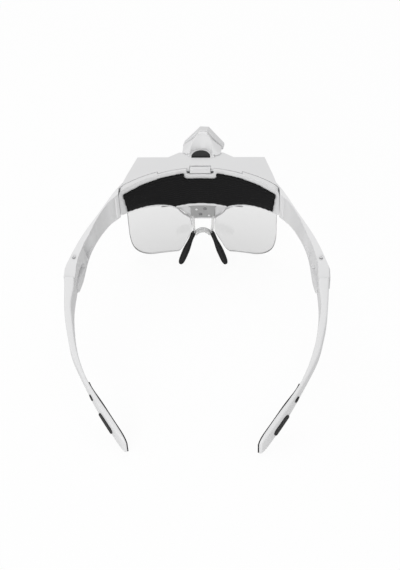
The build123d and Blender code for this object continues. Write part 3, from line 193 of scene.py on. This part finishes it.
# Brow housing and visor: glossy white mouldings that carry everything else,
# clipped together at the front edge with the visor's tongue between the lenses
flow_scale, flow_detail, grain_detail = 22.0, 2.0, 3.0
noise_middle, gloss_change, grain_depth = 0.5, 0.12, 0.0002
mould_group = bpy.data.node_groups.new("moulded_surface", "ShaderNodeTree")
mould_group.interface.new_socket("Colour", in_out="INPUT", socket_type="NodeSocketColor")
for label in ("Mottle", "Grain Size", "Roughness"):
    mould_group.interface.new_socket(label, in_out="INPUT", socket_type="NodeSocketFloat")
mould_group.interface.new_socket("Colour", in_out="OUTPUT", socket_type="NodeSocketColor")
for label in ("Roughness", "Height"):
    mould_group.interface.new_socket(label, in_out="OUTPUT", socket_type="NodeSocketFloat")


def tinted(made, joined, colour, scale):
    """A colour made lighter or darker by a factor"""
    tint = made.new("ShaderNodeVectorMath")
    tint.operation = "SCALE"
    joined.new(colour, tint.inputs[0])
    joined.new(scale, tint.inputs["Scale"])
    return tint.outputs[0]


mould_nodes, mould_links = mould_group.nodes, mould_group.links
group_in, group_out = mould_nodes.new("NodeGroupInput"), mould_nodes.new("NodeGroupOutput")
mould_place = mould_nodes.new("ShaderNodeTexCoord")
flow = mould_nodes.new("ShaderNodeTexNoise")
flow.inputs["Scale"].default_value = flow_scale
flow.inputs["Detail"].default_value = flow_detail
grain = mould_nodes.new("ShaderNodeTexNoise")
grain.inputs["Detail"].default_value = grain_detail
for noise in (flow, grain):
    mould_links.new(mould_place.outputs["Object"], noise.inputs["Vector"])
mould_links.new(group_in.outputs["Grain Size"], grain.inputs["Scale"])
drift = reckon(mould_nodes, mould_links, "SUBTRACT", flow.outputs["Fac"], noise_middle)
mottling = reckon(mould_nodes, mould_links, "MULTIPLY", drift, group_in.outputs["Mottle"])
mottling = reckon(mould_nodes, mould_links, "ADD", mottling, 1.0)
mottled = tinted(mould_nodes, mould_links, group_in.outputs["Colour"], mottling)
mould_links.new(mottled, group_out.inputs["Colour"])
gloss = reckon(
    mould_nodes, mould_links, "MULTIPLY_ADD", drift, gloss_change, group_in.outputs["Roughness"]
)
mould_links.new(gloss, group_out.inputs["Roughness"])
mould_links.new(grain.outputs["Fac"], group_out.inputs["Height"])


def plastic(name, colour, roughness, mottle=0.03, grain_size=900.0, bump=0.04, settings=None):
    """Moulded plastic with a faint grain, slow changes of colour and gloss, and any other settings"""
    material = bpy.data.materials.new(name)
    made, joined, _, shader = node_tree(material)
    surface = made.new("ShaderNodeGroup")
    surface.node_tree = mould_group
    surface.inputs["Colour"].default_value = (*colour, 1)
    surface.inputs["Mottle"].default_value = mottle
    surface.inputs["Grain Size"].default_value = grain_size
    surface.inputs["Roughness"].default_value = roughness
    joined.new(surface.outputs["Colour"], shader.inputs["Base Color"])
    joined.new(surface.outputs["Roughness"], shader.inputs["Roughness"])
    raised = made.new("ShaderNodeBump")
    raised.inputs["Strength"].default_value = bump
    raised.inputs["Distance"].default_value = grain_depth
    joined.new(surface.outputs["Height"], raised.inputs["Height"])
    joined.new(raised.outputs["Normal"], shader.inputs["Normal"])
    for label, value in (settings or {}).items():
        shader.inputs[label].default_value = value
    return material


merge_gap, flat_angle = 0.000005, math.radians(0.5)


def finished(node, material, edge=0.0004, angle=30.0, segments=3):
    """A node's own form with its triangles joined, its sharp edges rounded over and its material on"""
    mesh = nodes[node].data.copy()
    mesh.materials.clear()
    mesh.materials.append(material)
    form = bmesh.new()
    form.from_mesh(mesh)
    bmesh.ops.remove_doubles(form, verts=form.verts, dist=merge_gap)
    bmesh.ops.dissolve_limit(form, angle_limit=flat_angle, verts=form.verts, edges=form.edges)
    for face in form.faces:
        face.smooth = True
        face.material_index = 0
    form.to_mesh(mesh)
    form.free()
    piece = placed(node + "_finished", mesh)
    mesh.set_sharp_from_angle(angle=math.radians(angle))
    if edge:
        rounding = piece.modifiers.new("rounding", "BEVEL")
        rounding.width = edge
        rounding.segments = segments
        rounding.limit_method = "ANGLE"
        rounding.angle_limit = math.radians(angle)
        rounding.harden_normals = True
    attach(piece, nodes[node]["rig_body"])
    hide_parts(node)
    return piece


white = plastic("white_plastic", (0.80, 0.80, 0.805), 0.34)
for node in ("brow_housing", "front_visor"):
    finished(node, white)

# Power inside the brow: three round cells side by side, with plates and coils at their ends
# and a small switch under the top plate, all hidden behind the cover
jacket = plastic("cell_jacket", (0.10, 0.11, 0.12), 0.3)
contact = plastic("contact_metal", (0.62, 0.60, 0.55), 0.25, settings={"Metallic": 1.0})
black = plastic("black_plastic", (0.009, 0.009, 0.0095), 0.45, bump=0.2, settings={"Specular IOR Level": 0.3})


def dressed(node, material):
    """Puts a material on a node that keeps its own form"""
    nodes[node].data.materials.clear()
    nodes[node].data.materials.append(material)


dressed("battery_cells", jacket)
dressed("contact_plates", contact)
dressed("switch_body", black)

coil_sizes = {
    "Wire Radius": 0.00028,
    "Wide Radius": 0.0027,
    "Narrow Radius": 0.0014,
    "Length": 0.0011,
    "Turns": 3.5,
}
steps_a_turn, wire_sides = 28, 10
coil_tree = bpy.data.node_groups.new("coil_springs", "GeometryNodeTree")
coil_tree.interface.new_socket("Geometry", in_out="INPUT", socket_type="NodeSocketGeometry")
for label in coil_sizes:
    coil_tree.interface.new_socket(label, in_out="INPUT", socket_type="NodeSocketFloat")
coil_tree.interface.new_socket("Metal", in_out="INPUT", socket_type="NodeSocketMaterial")
coil_tree.interface.new_socket("Geometry", in_out="OUTPUT", socket_type="NodeSocketGeometry")
laid, wired = coil_tree.nodes, coil_tree.links
coil_in, coil_out = laid.new("NodeGroupInput"), laid.new("NodeGroupOutput")
spiral = laid.new("GeometryNodeCurveSpiral")
spiral.inputs["Resolution"].default_value = steps_a_turn
for given, wanted in (
    ("Turns", "Rotations"),
    ("Wide Radius", "Start Radius"),
    ("Narrow Radius", "End Radius"),
    ("Length", "Height"),
):
    wired.new(coil_in.outputs[given], spiral.inputs[wanted])
wire_ring = laid.new("GeometryNodeCurvePrimitiveCircle")
wire_ring.inputs["Resolution"].default_value = wire_sides
wired.new(coil_in.outputs["Wire Radius"], wire_ring.inputs["Radius"])
drawn_wire = laid.new("GeometryNodeCurveToMesh")
drawn_wire.inputs["Fill Caps"].default_value = True
wired.new(spiral.outputs["Curve"], drawn_wire.inputs["Curve"])
wired.new(wire_ring.outputs["Curve"], drawn_wire.inputs["Profile Curve"])
facing = laid.new("GeometryNodeInputNamedAttribute")
facing.data_type = "FLOAT_VECTOR"
facing.inputs["Name"].default_value = "facing"
seated = laid.new("GeometryNodeInstanceOnPoints")
wired.new(coil_in.outputs["Geometry"], seated.inputs["Points"])
wired.new(drawn_wire.outputs["Mesh"], seated.inputs["Instance"])
wired.new(facing.outputs["Attribute"], seated.inputs["Rotation"])
coil_real = laid.new("GeometryNodeRealizeInstances")
coil_metal = laid.new("GeometryNodeSetMaterial")
wired.new(seated.outputs["Instances"], coil_real.inputs["Geometry"])
wired.new(coil_real.outputs["Geometry"], coil_metal.inputs["Geometry"])
wired.new(coil_in.outputs["Metal"], coil_metal.inputs["Material"])
wired.new(coil_metal.outputs["Geometry"], coil_out.inputs["Geometry"])

# Each coil presses on its cell from the side on which its plain stand-in lies
cell_low, cell_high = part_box("battery_cells")
cell_radius = (cell_high[1] - cell_low[1]) / 2
cell_middle = (cell_low[1] + cell_high[1]) / 2
cell_pitch = (cell_high[2] - cell_low[2]) / 2 - cell_radius
cell_rows = 3
spring_points = [corner.co for corner in nodes["contact_springs"].data.vertices]
coil_seats, coil_turns = [], []
for row in range(cell_rows):
    row_height = cell_low[2] + cell_radius + row * cell_pitch
    reach = [point.x for point in spring_points if abs(point.z - row_height) < cell_radius]
    outward = 1 if sum(reach) > 0 else -1
    seat_x = outward * max(abs(x) for x in reach) - outward * coil_sizes["Wire Radius"]
    coil_seats.append((seat_x, cell_middle, row_height))
    coil_turns.append((0.0, -outward * math.pi / 2, 0.0))
coil_points = bpy.data.meshes.new("spring_seats")
coil_points.from_pydata(coil_seats, [], [])
coil_facing = coil_points.attributes.new("facing", "FLOAT_VECTOR", "POINT")
for row, turn in enumerate(coil_turns):
    coil_facing.data[row].vector = turn


def grown(name, seats, tree, sizes):
    """Plain mesh object that a Geometry Nodes tree grows on a mesh of points"""
    seed = placed(name + "_seats", seats)
    growth = seed.modifiers.new(name, "NODES")
    growth.node_group = tree
    for socket in tree.interface.items_tree:
        if socket.item_type == "SOCKET" and socket.in_out == "INPUT" and socket.name in sizes:
            growth[socket.identifier] = sizes[socket.name]
    seen_by = bpy.context.evaluated_depsgraph_get()
    mesh = bpy.data.meshes.new_from_object(seed.evaluated_get(seen_by))
    bpy.data.objects.remove(seed)
    mesh.shade_smooth()
    return placed(name, mesh)


coils = grown("contact_coils", coil_points, coil_tree, {**coil_sizes, "Metal": contact})
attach(coils, nodes["contact_springs"]["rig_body"])
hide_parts("contact_springs")

# Battery cover and latch: the white shell behind the forehead pad,
# held at the top by a springy tab in its notch
cover = finished("battery_cover", white, edge=0.0003)
cover_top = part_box("battery_cover")[1][2]
seam_width, lip_thick, lip_slack = 0.0004, 0.0016, 0.0001
front_share, level_share = 0.3, 0.3
lip_front = set()
for face in cover.data.polygons:
    faces_front = face.normal.y > front_share and abs(face.normal.z) < level_share
    if faces_front and face.center.z > cover_top - lip_thick:
        lip_front.update(face.vertices)
for number in lip_front:
    if cover.data.vertices[number].co.z > cover_top - lip_thick - lip_slack:
        cover.data.vertices[number].co.y -= seam_width


def held(value):
    """A value held between 0 and 1"""
    return max(0.0, min(1.0, value))


latch = finished("cover_latch", white, edge=0.0002)
latch_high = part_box("cover_latch")[1]
latch_sink, latch_step, latch_draw, latch_front = 0.0009, 0.0012, 0.0006, 0.0005
for corner in latch.data.vertices:
    corner.co.z -= latch_sink * held((corner.co.z - latch_high[2] + latch_step) / (latch_step / 2))
    if corner.co.y > latch_high[1] - latch_front:
        corner.co.y -= latch_draw

# Brow pad: thin foam under black spacer mesh, its rim pressed flat and glued to the cover,
# worn against the forehead and crowned by the foam inside, with painted shade darkening its rim
ripple_length, row_pitch, ripple_rise = 0.0046, 0.0021, 0.00045
hole_scale, weave_relief, weave_depth = 1400.0, 0.5, 0.00018
row_shade, painted_rim_shade_amount = 0.3, 0.8
cloth_settings = {"Sheen Weight": 0.03, "Specular IOR Level": 0.12, "Sheen Roughness": 0.4}
weave = plastic(
    "pad_cloth",
    (0.0100, 0.0100, 0.0104),
    0.8,
    mottle=0.25,
    grain_size=2600.0,
    bump=0.3,
    settings=cloth_settings,
)
woven, threads, _, cloth_shader = node_tree(weave)
cloth_place = woven.new("ShaderNodeTexCoord")
cloth_axes = woven.new("ShaderNodeSeparateXYZ")
threads.new(cloth_place.outputs["Object"], cloth_axes.inputs[0])
ripple = reckon(woven, threads, "MULTIPLY", cloth_axes.outputs["X"], 2 * math.pi / ripple_length)
ripple = reckon(woven, threads, "MULTIPLY", reckon(woven, threads, "SINE", ripple), ripple_rise)
rows = reckon(woven, threads, "ADD", cloth_axes.outputs["Z"], ripple)
rows = reckon(woven, threads, "SINE", reckon(woven, threads, "MULTIPLY", rows, 2 * math.pi / row_pitch))
holes = woven.new("ShaderNodeTexVoronoi")
holes.inputs["Scale"].default_value = hole_scale
threads.new(cloth_place.outputs["Object"], holes.inputs["Vector"])
relief = reckon(woven, threads, "ADD", rows, holes.outputs["Distance"])
cloth_bump = woven.new("ShaderNodeBump")
cloth_bump.inputs["Strength"].default_value = weave_relief
cloth_bump.inputs["Distance"].default_value = weave_depth
threads.new(relief, cloth_bump.inputs["Height"])
threads.new(cloth_shader.inputs["Normal"].links[0].from_socket, cloth_bump.inputs["Normal"])
threads.new(cloth_bump.outputs["Normal"], cloth_shader.inputs["Normal"])
# Painted shade: the cloth is darker where its surface turns away from the wearer's side, along the rim
painted_rim_input = woven.new("ShaderNodeAttribute")
painted_rim_input.attribute_name = "rim_painted_shade"
painted_rim_darkening = reckon(woven, threads, "MULTIPLY", painted_rim_input.outputs["Fac"], painted_rim_shade_amount)
shade = reckon(woven, threads, "MULTIPLY_ADD", rows, row_shade, 1.0)
shade = reckon(woven, threads, "SUBTRACT", shade, painted_rim_darkening)
cloth_colour = cloth_shader.inputs["Base Color"].links[0].from_socket
threads.new(tinted(woven, threads, cloth_colour, shade), cloth_shader.inputs["Base Color"])


def settled(piece):
    """Applies a piece's modifiers and gives it the result as its own mesh"""
    seen_by = bpy.context.evaluated_depsgraph_get()
    mesh = bpy.data.meshes.new_from_object(piece.evaluated_get(seen_by))
    piece.modifiers.clear()
    piece.data = mesh


# The foam is enlarged for the cloth simulation, whose steps suit larger things
pad_scale, pad_voxel, pad_smoothings = 20.0, 0.0008, 2
pad_frames, pad_swell = 20, 0.0009
foam = nodes["brow_pad"].data.copy()
foam.transform(Matrix.Scale(pad_scale, 4))
pad = placed("forehead_pad", foam)
voxels = pad.modifiers.new("voxels", "REMESH")
voxels.mode = "VOXEL"
voxels.voxel_size = pad_voxel * pad_scale
settled(pad)
form = bmesh.new()
form.from_mesh(pad.data)
every_axis = {"use_axis_x": True, "use_axis_y": True, "use_axis_z": True}
for turn in range(pad_smoothings):
    bmesh.ops.smooth_vert(form, verts=form.verts, factor=0.5, **every_axis)
pad_low, pad_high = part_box("brow_pad")
for axis in (0, 2):
    lowest = min(corner.co[axis] for corner in form.verts)
    highest = max(corner.co[axis] for corner in form.verts)
    stretch = (pad_high[axis] - pad_low[axis]) * pad_scale / (highest - lowest)
    for corner in form.verts:
        corner.co[axis] = pad_low[axis] * pad_scale + (corner.co[axis] - lowest) * stretch
form.to_mesh(pad.data)
form.free()
pad_points = [corner.co.copy() for corner in pad.data.vertices]

# The pad's curve in plan, from its middle and two places near its ends
middle_band, end_band, end_share, glued_share = 0.004 * pad_scale, 0.002 * pad_scale, 0.8, 0.55
across = [Vector((point.x, point.y)) for point in pad_points]
pad_half = (pad_high[0] - pad_low[0]) / 2 * pad_scale
middle_back = min(point.y for point in across if abs(point.x) < middle_band)
end_back = min(point.y for point in across if abs(abs(point.x) - pad_half * end_share) < end_band)
bow = middle_back - end_back
pad_radius = ((pad_half * end_share) ** 2 + bow**2) / (2 * bow)
pad_centre = Vector((0, middle_back - pad_radius))
outside = [(flat - pad_centre).length - pad_radius for flat in across]
pad_depth = max(outside)
glued = pad.vertex_groups.new(name="glued")
glued_points = [number for number, deep in enumerate(outside) if deep > pad_depth * glued_share]
glued.add(glued_points, 1.0, "REPLACE")
swell = pad.modifiers.new("swell", "CLOTH")
swell.settings.quality = 4
swell.settings.mass = 0.4
swell.settings.use_pressure = True
swell.settings.uniform_pressure_force = 4.0
swell.settings.effector_weights.gravity = 0.0
swell.settings.vertex_group_mass = "glued"
swell.point_cache.frame_start = 1
swell.point_cache.frame_end = pad_frames
for moment in range(1, pad_frames + 1):
    bpy.context.scene.frame_set(moment)
settled(pad)
bpy.context.scene.frame_set(1)
for number, corner in enumerate(pad.data.vertices):
    step = corner.co - pad_points[number]
    if step.length > pad_swell * pad_scale:
        step.length = pad_swell * pad_scale
    corner.co = pad_points[number] + step

# The lower edge hangs a little below the foam, most of all in the middle
pad_drop_side, pad_drop_middle, pad_drop_half_width = 0.0014, 0.0014, 0.028
pad_drop_start, pad_drop_span = 0.010, 0.014
for corner in pad.data.vertices:
    corner.co /= pad_scale
    lower = held((pad_high[2] - pad_drop_start - corner.co.z) / pad_drop_span)
    near_middle = max(0.0, 1.0 - (corner.co.x / pad_drop_half_width) ** 2)
    corner.co.z -= lower * (pad_drop_side + pad_drop_middle * near_middle)
pad.data.materials.clear()
pad.data.materials.append(weave)
pad.data.shade_smooth()
# Painted shade mark: 0 where the surface faces the pad's middle, rising to 1 where it turns away at the rim
rim_turn, rim_steepness = 0.8, 2.5
painted_rim_shade_mark = pad.data.attributes.new("rim_painted_shade", "FLOAT", "POINT")
for number, corner in enumerate(pad.data.vertices):
    outwards = Vector((corner.co.x, corner.co.y)) - pad_centre / pad_scale
    inwards = Vector((-outwards.x, -outwards.y, 0)).normalized()
    painted_rim_shade_mark.data[number].value = held((rim_turn - corner.normal.dot(inwards)) * rim_steepness)
finer = pad.modifiers.new("finer", "SUBSURF")
finer.levels = finer.render_levels = 1
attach(pad, nodes["brow_pad"]["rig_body"])
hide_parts("brow_pad")

# Push button: a half-round matte black cap in the housing's collar,
# pressed down on the switch to light the lamp
finished("power_button", black, edge=0.0002)

# Lamp: a half ring turns round the button's collar and carries the shell and hood on a cross pin,
# with the window, bowls, board and lights inside the hood
steel = plastic("steel", (0.42, 0.42, 0.43), 0.3, settings={"Metallic": 1.0})
for node in ("lamp_bracket", "lamp_hood"):
    finished(node, white, edge=0.0003)


def joint_of(name):
    """The record's own row for a joint"""
    return next(joint for joint in frame["record"]["behaviour"]["joints"] if joint["name"] == name)


# The shell's panel sweeps down to the button in a hollow curve
arch_radius, sweep_reach, sweep_low, sweep_rise, sweep_wall = 0.009, 0.0062, 0.002, 0.0078, 0.0007
sweep_bend, sweep_margin, underside, finest, finer_turns = 0.7, 0.003, -0.1, 0.0007, 6
swivel_point = Vector(joint_of("lamp_swivel")["pos_m"])
shell = finished("lamp_shell", white, edge=0)
form = bmesh.new()
form.from_mesh(shell.data)
bmesh.ops.triangulate(form, faces=form.faces)
for turn in range(finer_turns):
    long_edges = []
    for edge in form.edges:
        middle = (edge.verts[0].co + edge.verts[1].co) / 2 - swivel_point
        near_button = math.hypot(middle.x, middle.y) < arch_radius + sweep_reach + sweep_margin
        if edge.calc_length() > finest and near_button:
            long_edges.append(edge)
    if long_edges:
        bmesh.ops.subdivide_edges(form, edges=long_edges, cuts=1)
        bmesh.ops.triangulate(form, faces=[face for face in form.faces if len(face.verts) > 3])
form.normal_update()
for corner in form.verts:
    from_swivel = corner.co - swivel_point
    along = (math.hypot(from_swivel.x, from_swivel.y) - arch_radius) / sweep_reach
    if along < 1.0:
        height = sweep_low + sweep_rise * max(along, 0.0) ** sweep_bend
        if corner.normal.z < underside:
            height -= sweep_wall
        if from_swivel.z > height:
            corner.co.z = swivel_point.z + height
form.to_mesh(shell.data)
form.free()
shell_angle = math.radians(24.0)
shell.data.shade_smooth()
shell.data.set_sharp_from_angle(angle=shell_angle)

# The lip that enters the hood is painted dark grey as the shade of the seam
lamp_dip = math.radians(18.0)
seam_start, seam_below, seam_tilt = -0.00109, 0.004, 0.3
tilt_pin = Vector(joint_of("lamp_tilt")["pos_m"])
upright = Vector((0, 0, 1))
ahead = Vector(joint_of("lamp_tilt")["axis"]).normalized().cross(upright).normalized()
beam = ahead * math.cos(lamp_dip) - upright * math.sin(lamp_dip)
seam_painted_shade = plastic("seam_painted_shade", (0.30, 0.30, 0.30), 0.5)
shell.data.materials.append(seam_painted_shade)
for face in shell.data.polygons:
    past_seam = (face.center - tilt_pin).dot(beam) > seam_start
    is_wall = abs(face.normal.dot(beam)) < seam_tilt
    # Lip faces past the seam take the grey of the painted seam shade
    if past_seam and is_wall and face.center.z > tilt_pin.z - seam_below:
        face.material_index = 1

clear = bpy.data.materials.new("clear_plastic")
clear_shader = node_tree(clear)[3]
clear_shader.inputs["Base Color"].default_value = (0.93, 0.93, 0.93, 1)
clear_shader.inputs["Roughness"].default_value = 0.03
clear_shader.inputs["IOR"].default_value = 1.49
clear_shader.inputs["Transmission Weight"].default_value = 1.0
finished("lamp_window", clear, edge=0.0001)
silver = plastic("silvered_plastic", (0.75, 0.75, 0.76), 0.12, settings={"Metallic": 1.0})
board = plastic("board", (0.02, 0.12, 0.05), 0.4)
resin = plastic("led_resin", (0.80, 0.76, 0.55), 0.2)
dressed("lamp_reflector", silver)
dressed("lamp_board", board)
dressed("lamp_leds", resin)
dressed("lamp_pin", steel)

# Lens plate: one clear moulding of two magnifying lenses that slides in rails under the brow,
# a little greyer towards its foot, with a polished rim
lens_foot_grey, lens_top_grey = 0.72, 0.84
lens_low, lens_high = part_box("lens_plate")
lens_clear = clear.copy()
lens_clear.name = "lens_plastic"
lens_nodes, lens_links, _, lens_shader = node_tree(lens_clear)
lens_place = lens_nodes.new("ShaderNodeTexCoord")
lens_axes = lens_nodes.new("ShaderNodeSeparateXYZ")
lens_links.new(lens_place.outputs["Object"], lens_axes.inputs[0])
lens_rise = lens_nodes.new("ShaderNodeMapRange")
lens_rise.inputs["From Min"].default_value = lens_low[2]
lens_rise.inputs["From Max"].default_value = lens_high[2]
lens_links.new(lens_axes.outputs["Z"], lens_rise.inputs["Value"])
lens_tint = lens_nodes.new("ShaderNodeMix")
lens_tint.data_type = "RGBA"
lens_tint.inputs["A"].default_value = (lens_foot_grey, lens_foot_grey, lens_foot_grey, 1)
lens_tint.inputs["B"].default_value = (lens_top_grey, lens_top_grey, lens_top_grey, 1)
lens_links.new(lens_rise.outputs["Result"], lens_tint.inputs["Factor"])
lens_links.new(lens_tint.outputs["Result"], lens_shader.inputs["Base Color"])
polished = plastic("lens_rim", (0.82, 0.82, 0.82), 0.3, mottle=0.05, settings={"Transmission Weight": 0.15})
lens = finished("lens_plate", lens_clear, edge=0.0004)
lens.data.materials.append(polished)

# The plate's inner shoulders rise to the brow and close the view beside the tongue
shoulder_start, shoulder_end, shoulder_limit = 0.012, 0.021, 0.034
shoulder_low, strip_low, lens_face_share = 0.035, 0.04858, 0.6
for corner in lens.data.vertices:
    out = abs(corner.co.x)
    if shoulder_start < out < shoulder_limit and shoulder_low < corner.co.z < strip_low:
        share = min(1.0, (out - shoulder_start) / (shoulder_end - shoulder_start)) ** 3
        corner.co.z += share * (strip_low - corner.co.z)
for face in lens.data.polygons:
    if abs(face.normal.y) < lens_face_share:
        face.material_index = 1

# Nose frame, its screws and pads: a clear moulding on the visor's tongue, its plate between the two bars
# painted grey as the shade under the brow, held by two screws and ending in rubber drops
frosted_settings = {"Transmission Weight": 0.45, "IOR": 1.35}
frosted = plastic("nose_frame_plastic", (0.9, 0.9, 0.9), 0.22, mottle=0.04, settings=frosted_settings)
# Grey that paints the shade under the brow onto the nose plate and the gussets
painted_shade_grey = plastic("nose_plate_painted_shade", (0.40, 0.40, 0.40), 0.25, mottle=0.04)
nose_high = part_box("nose_frame")[1]
nose = finished("nose_frame", frosted, edge=0.0002)
nose.data.materials.append(painted_shade_grey)
bar_spread, bar_inner, bar_foot, bar_top = 0.0014, 0.0062, 0.027, 0.036
plate_bar, plate_tall, plate_face_share = 0.0016, 0.0130, 0.8
for corner in nose.data.vertices:
    if abs(corner.co.x) > bar_inner:
        climb = held((corner.co.z - bar_foot) / (bar_top - bar_foot))
        corner.co.x += math.copysign(bar_spread * climb, corner.co.x)
# The plate's faces towards the wearer, between the bars, take the painted shade grey
for face in nose.data.polygons:
    in_bars = abs(face.center.x) > nose_high[0] + bar_spread - plate_bar
    faces_wearer = face.normal.y < -plate_face_share
    if faces_wearer and face.center.z > nose_high[2] - plate_tall and not in_bars:
        face.material_index = 1
dressed("nose_screws", steel)
rubber = plastic(
    "black_rubber",
    (0.010, 0.010, 0.0105),
    0.55,
    mottle=0.2,
    grain_size=1800.0,
    bump=0.15,
    settings={"Specular IOR Level": 0.25},
)
for node in ("nose_pad_right", "nose_pad_left"):
    finished(node, rubber, edge=0)

# Gussets: thin webs moulded at the root of the visor's tongue,
# one each side, painted grey as the shade under the brow
gusset_wall, gusset_set_in, gusset_edge, gusset_foot_rise = 0.0014, 0.0003, 0.0003, 0.002
gusset_in, gusset_out, gusset_low, gusset_top = 0.0094, 0.0165, 0.0425, 0.0515
gusset_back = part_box("front_visor")[0][1] + gusset_set_in
gusset_outline = [
    (gusset_in, gusset_low),
    (gusset_out, gusset_top - gusset_foot_rise),
    (gusset_out, gusset_top),
    (gusset_in, gusset_top),
]
for side, name in ((1, "right"), (-1, "left")):
    form = bmesh.new()
    corners = [form.verts.new((side * x, gusset_back, z)) for x, z in gusset_outline]
    flat = form.faces.new(corners if side < 0 else corners[::-1])
    raised = bmesh.ops.extrude_face_region(form, geom=[flat])
    for item in raised["geom"]:
        if isinstance(item, bmesh.types.BMVert):
            item.co.y += gusset_wall
    bmesh.ops.recalc_face_normals(form, faces=form.faces)
    gusset_mesh = bpy.data.meshes.new("visor_gusset_" + name)
    form.to_mesh(gusset_mesh)
    form.free()
    # The webs take the painted shade grey
    gusset_mesh.materials.append(painted_shade_grey)
    gusset = placed("visor_gusset_" + name, gusset_mesh)
    softened = gusset.modifiers.new("rounding", "BEVEL")
    softened.width = gusset_edge
    softened.segments = 2
    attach(gusset, nodes["front_visor"]["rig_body"])

# Side brackets and hinges: white channels with ribs, each ending in a fork round a steel pin
# whose heads show a bright middle in a white bush, with a cap on the outer side
pin_bush, pin_end_share, pin_angle = 0.00065, 0.9, math.radians(30.0)
for side in ("right", "left"):
    finished("side_bracket_" + side, white, edge=0.0003)
    pin = finished("hinge_pin_" + side, white, edge=0)
    pin.data.materials.append(steel)
    pin_low, pin_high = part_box("hinge_pin_" + side)
    form = bmesh.new()
    form.from_mesh(pin.data)
    ends = [face for face in form.faces if abs(face.normal.z) > pin_end_share]
    bmesh.ops.inset_region(form, faces=ends, thickness=pin_bush, depth=0)
    for face in ends:
        face.material_index = 1
    for face in form.faces:
        if pin_low[2] + pin_bush < face.calc_center_median().z < pin_high[2] - pin_bush:
            face.material_index = 1
    form.to_mesh(pin.data)
    form.free()
    pin.data.set_sharp_from_angle(angle=pin_angle)
    finished("hinge_cap_" + side, white, edge=0.0003)

# Temple arms: white mouldings that swing on the hinge pins,
# each with a black rubber grip pressed into the slots of its tip
for side in ("right", "left"):
    finished("temple_arm_" + side, white, edge=0.0004)
    finished("temple_grip_" + side, rubber, edge=0.0002)
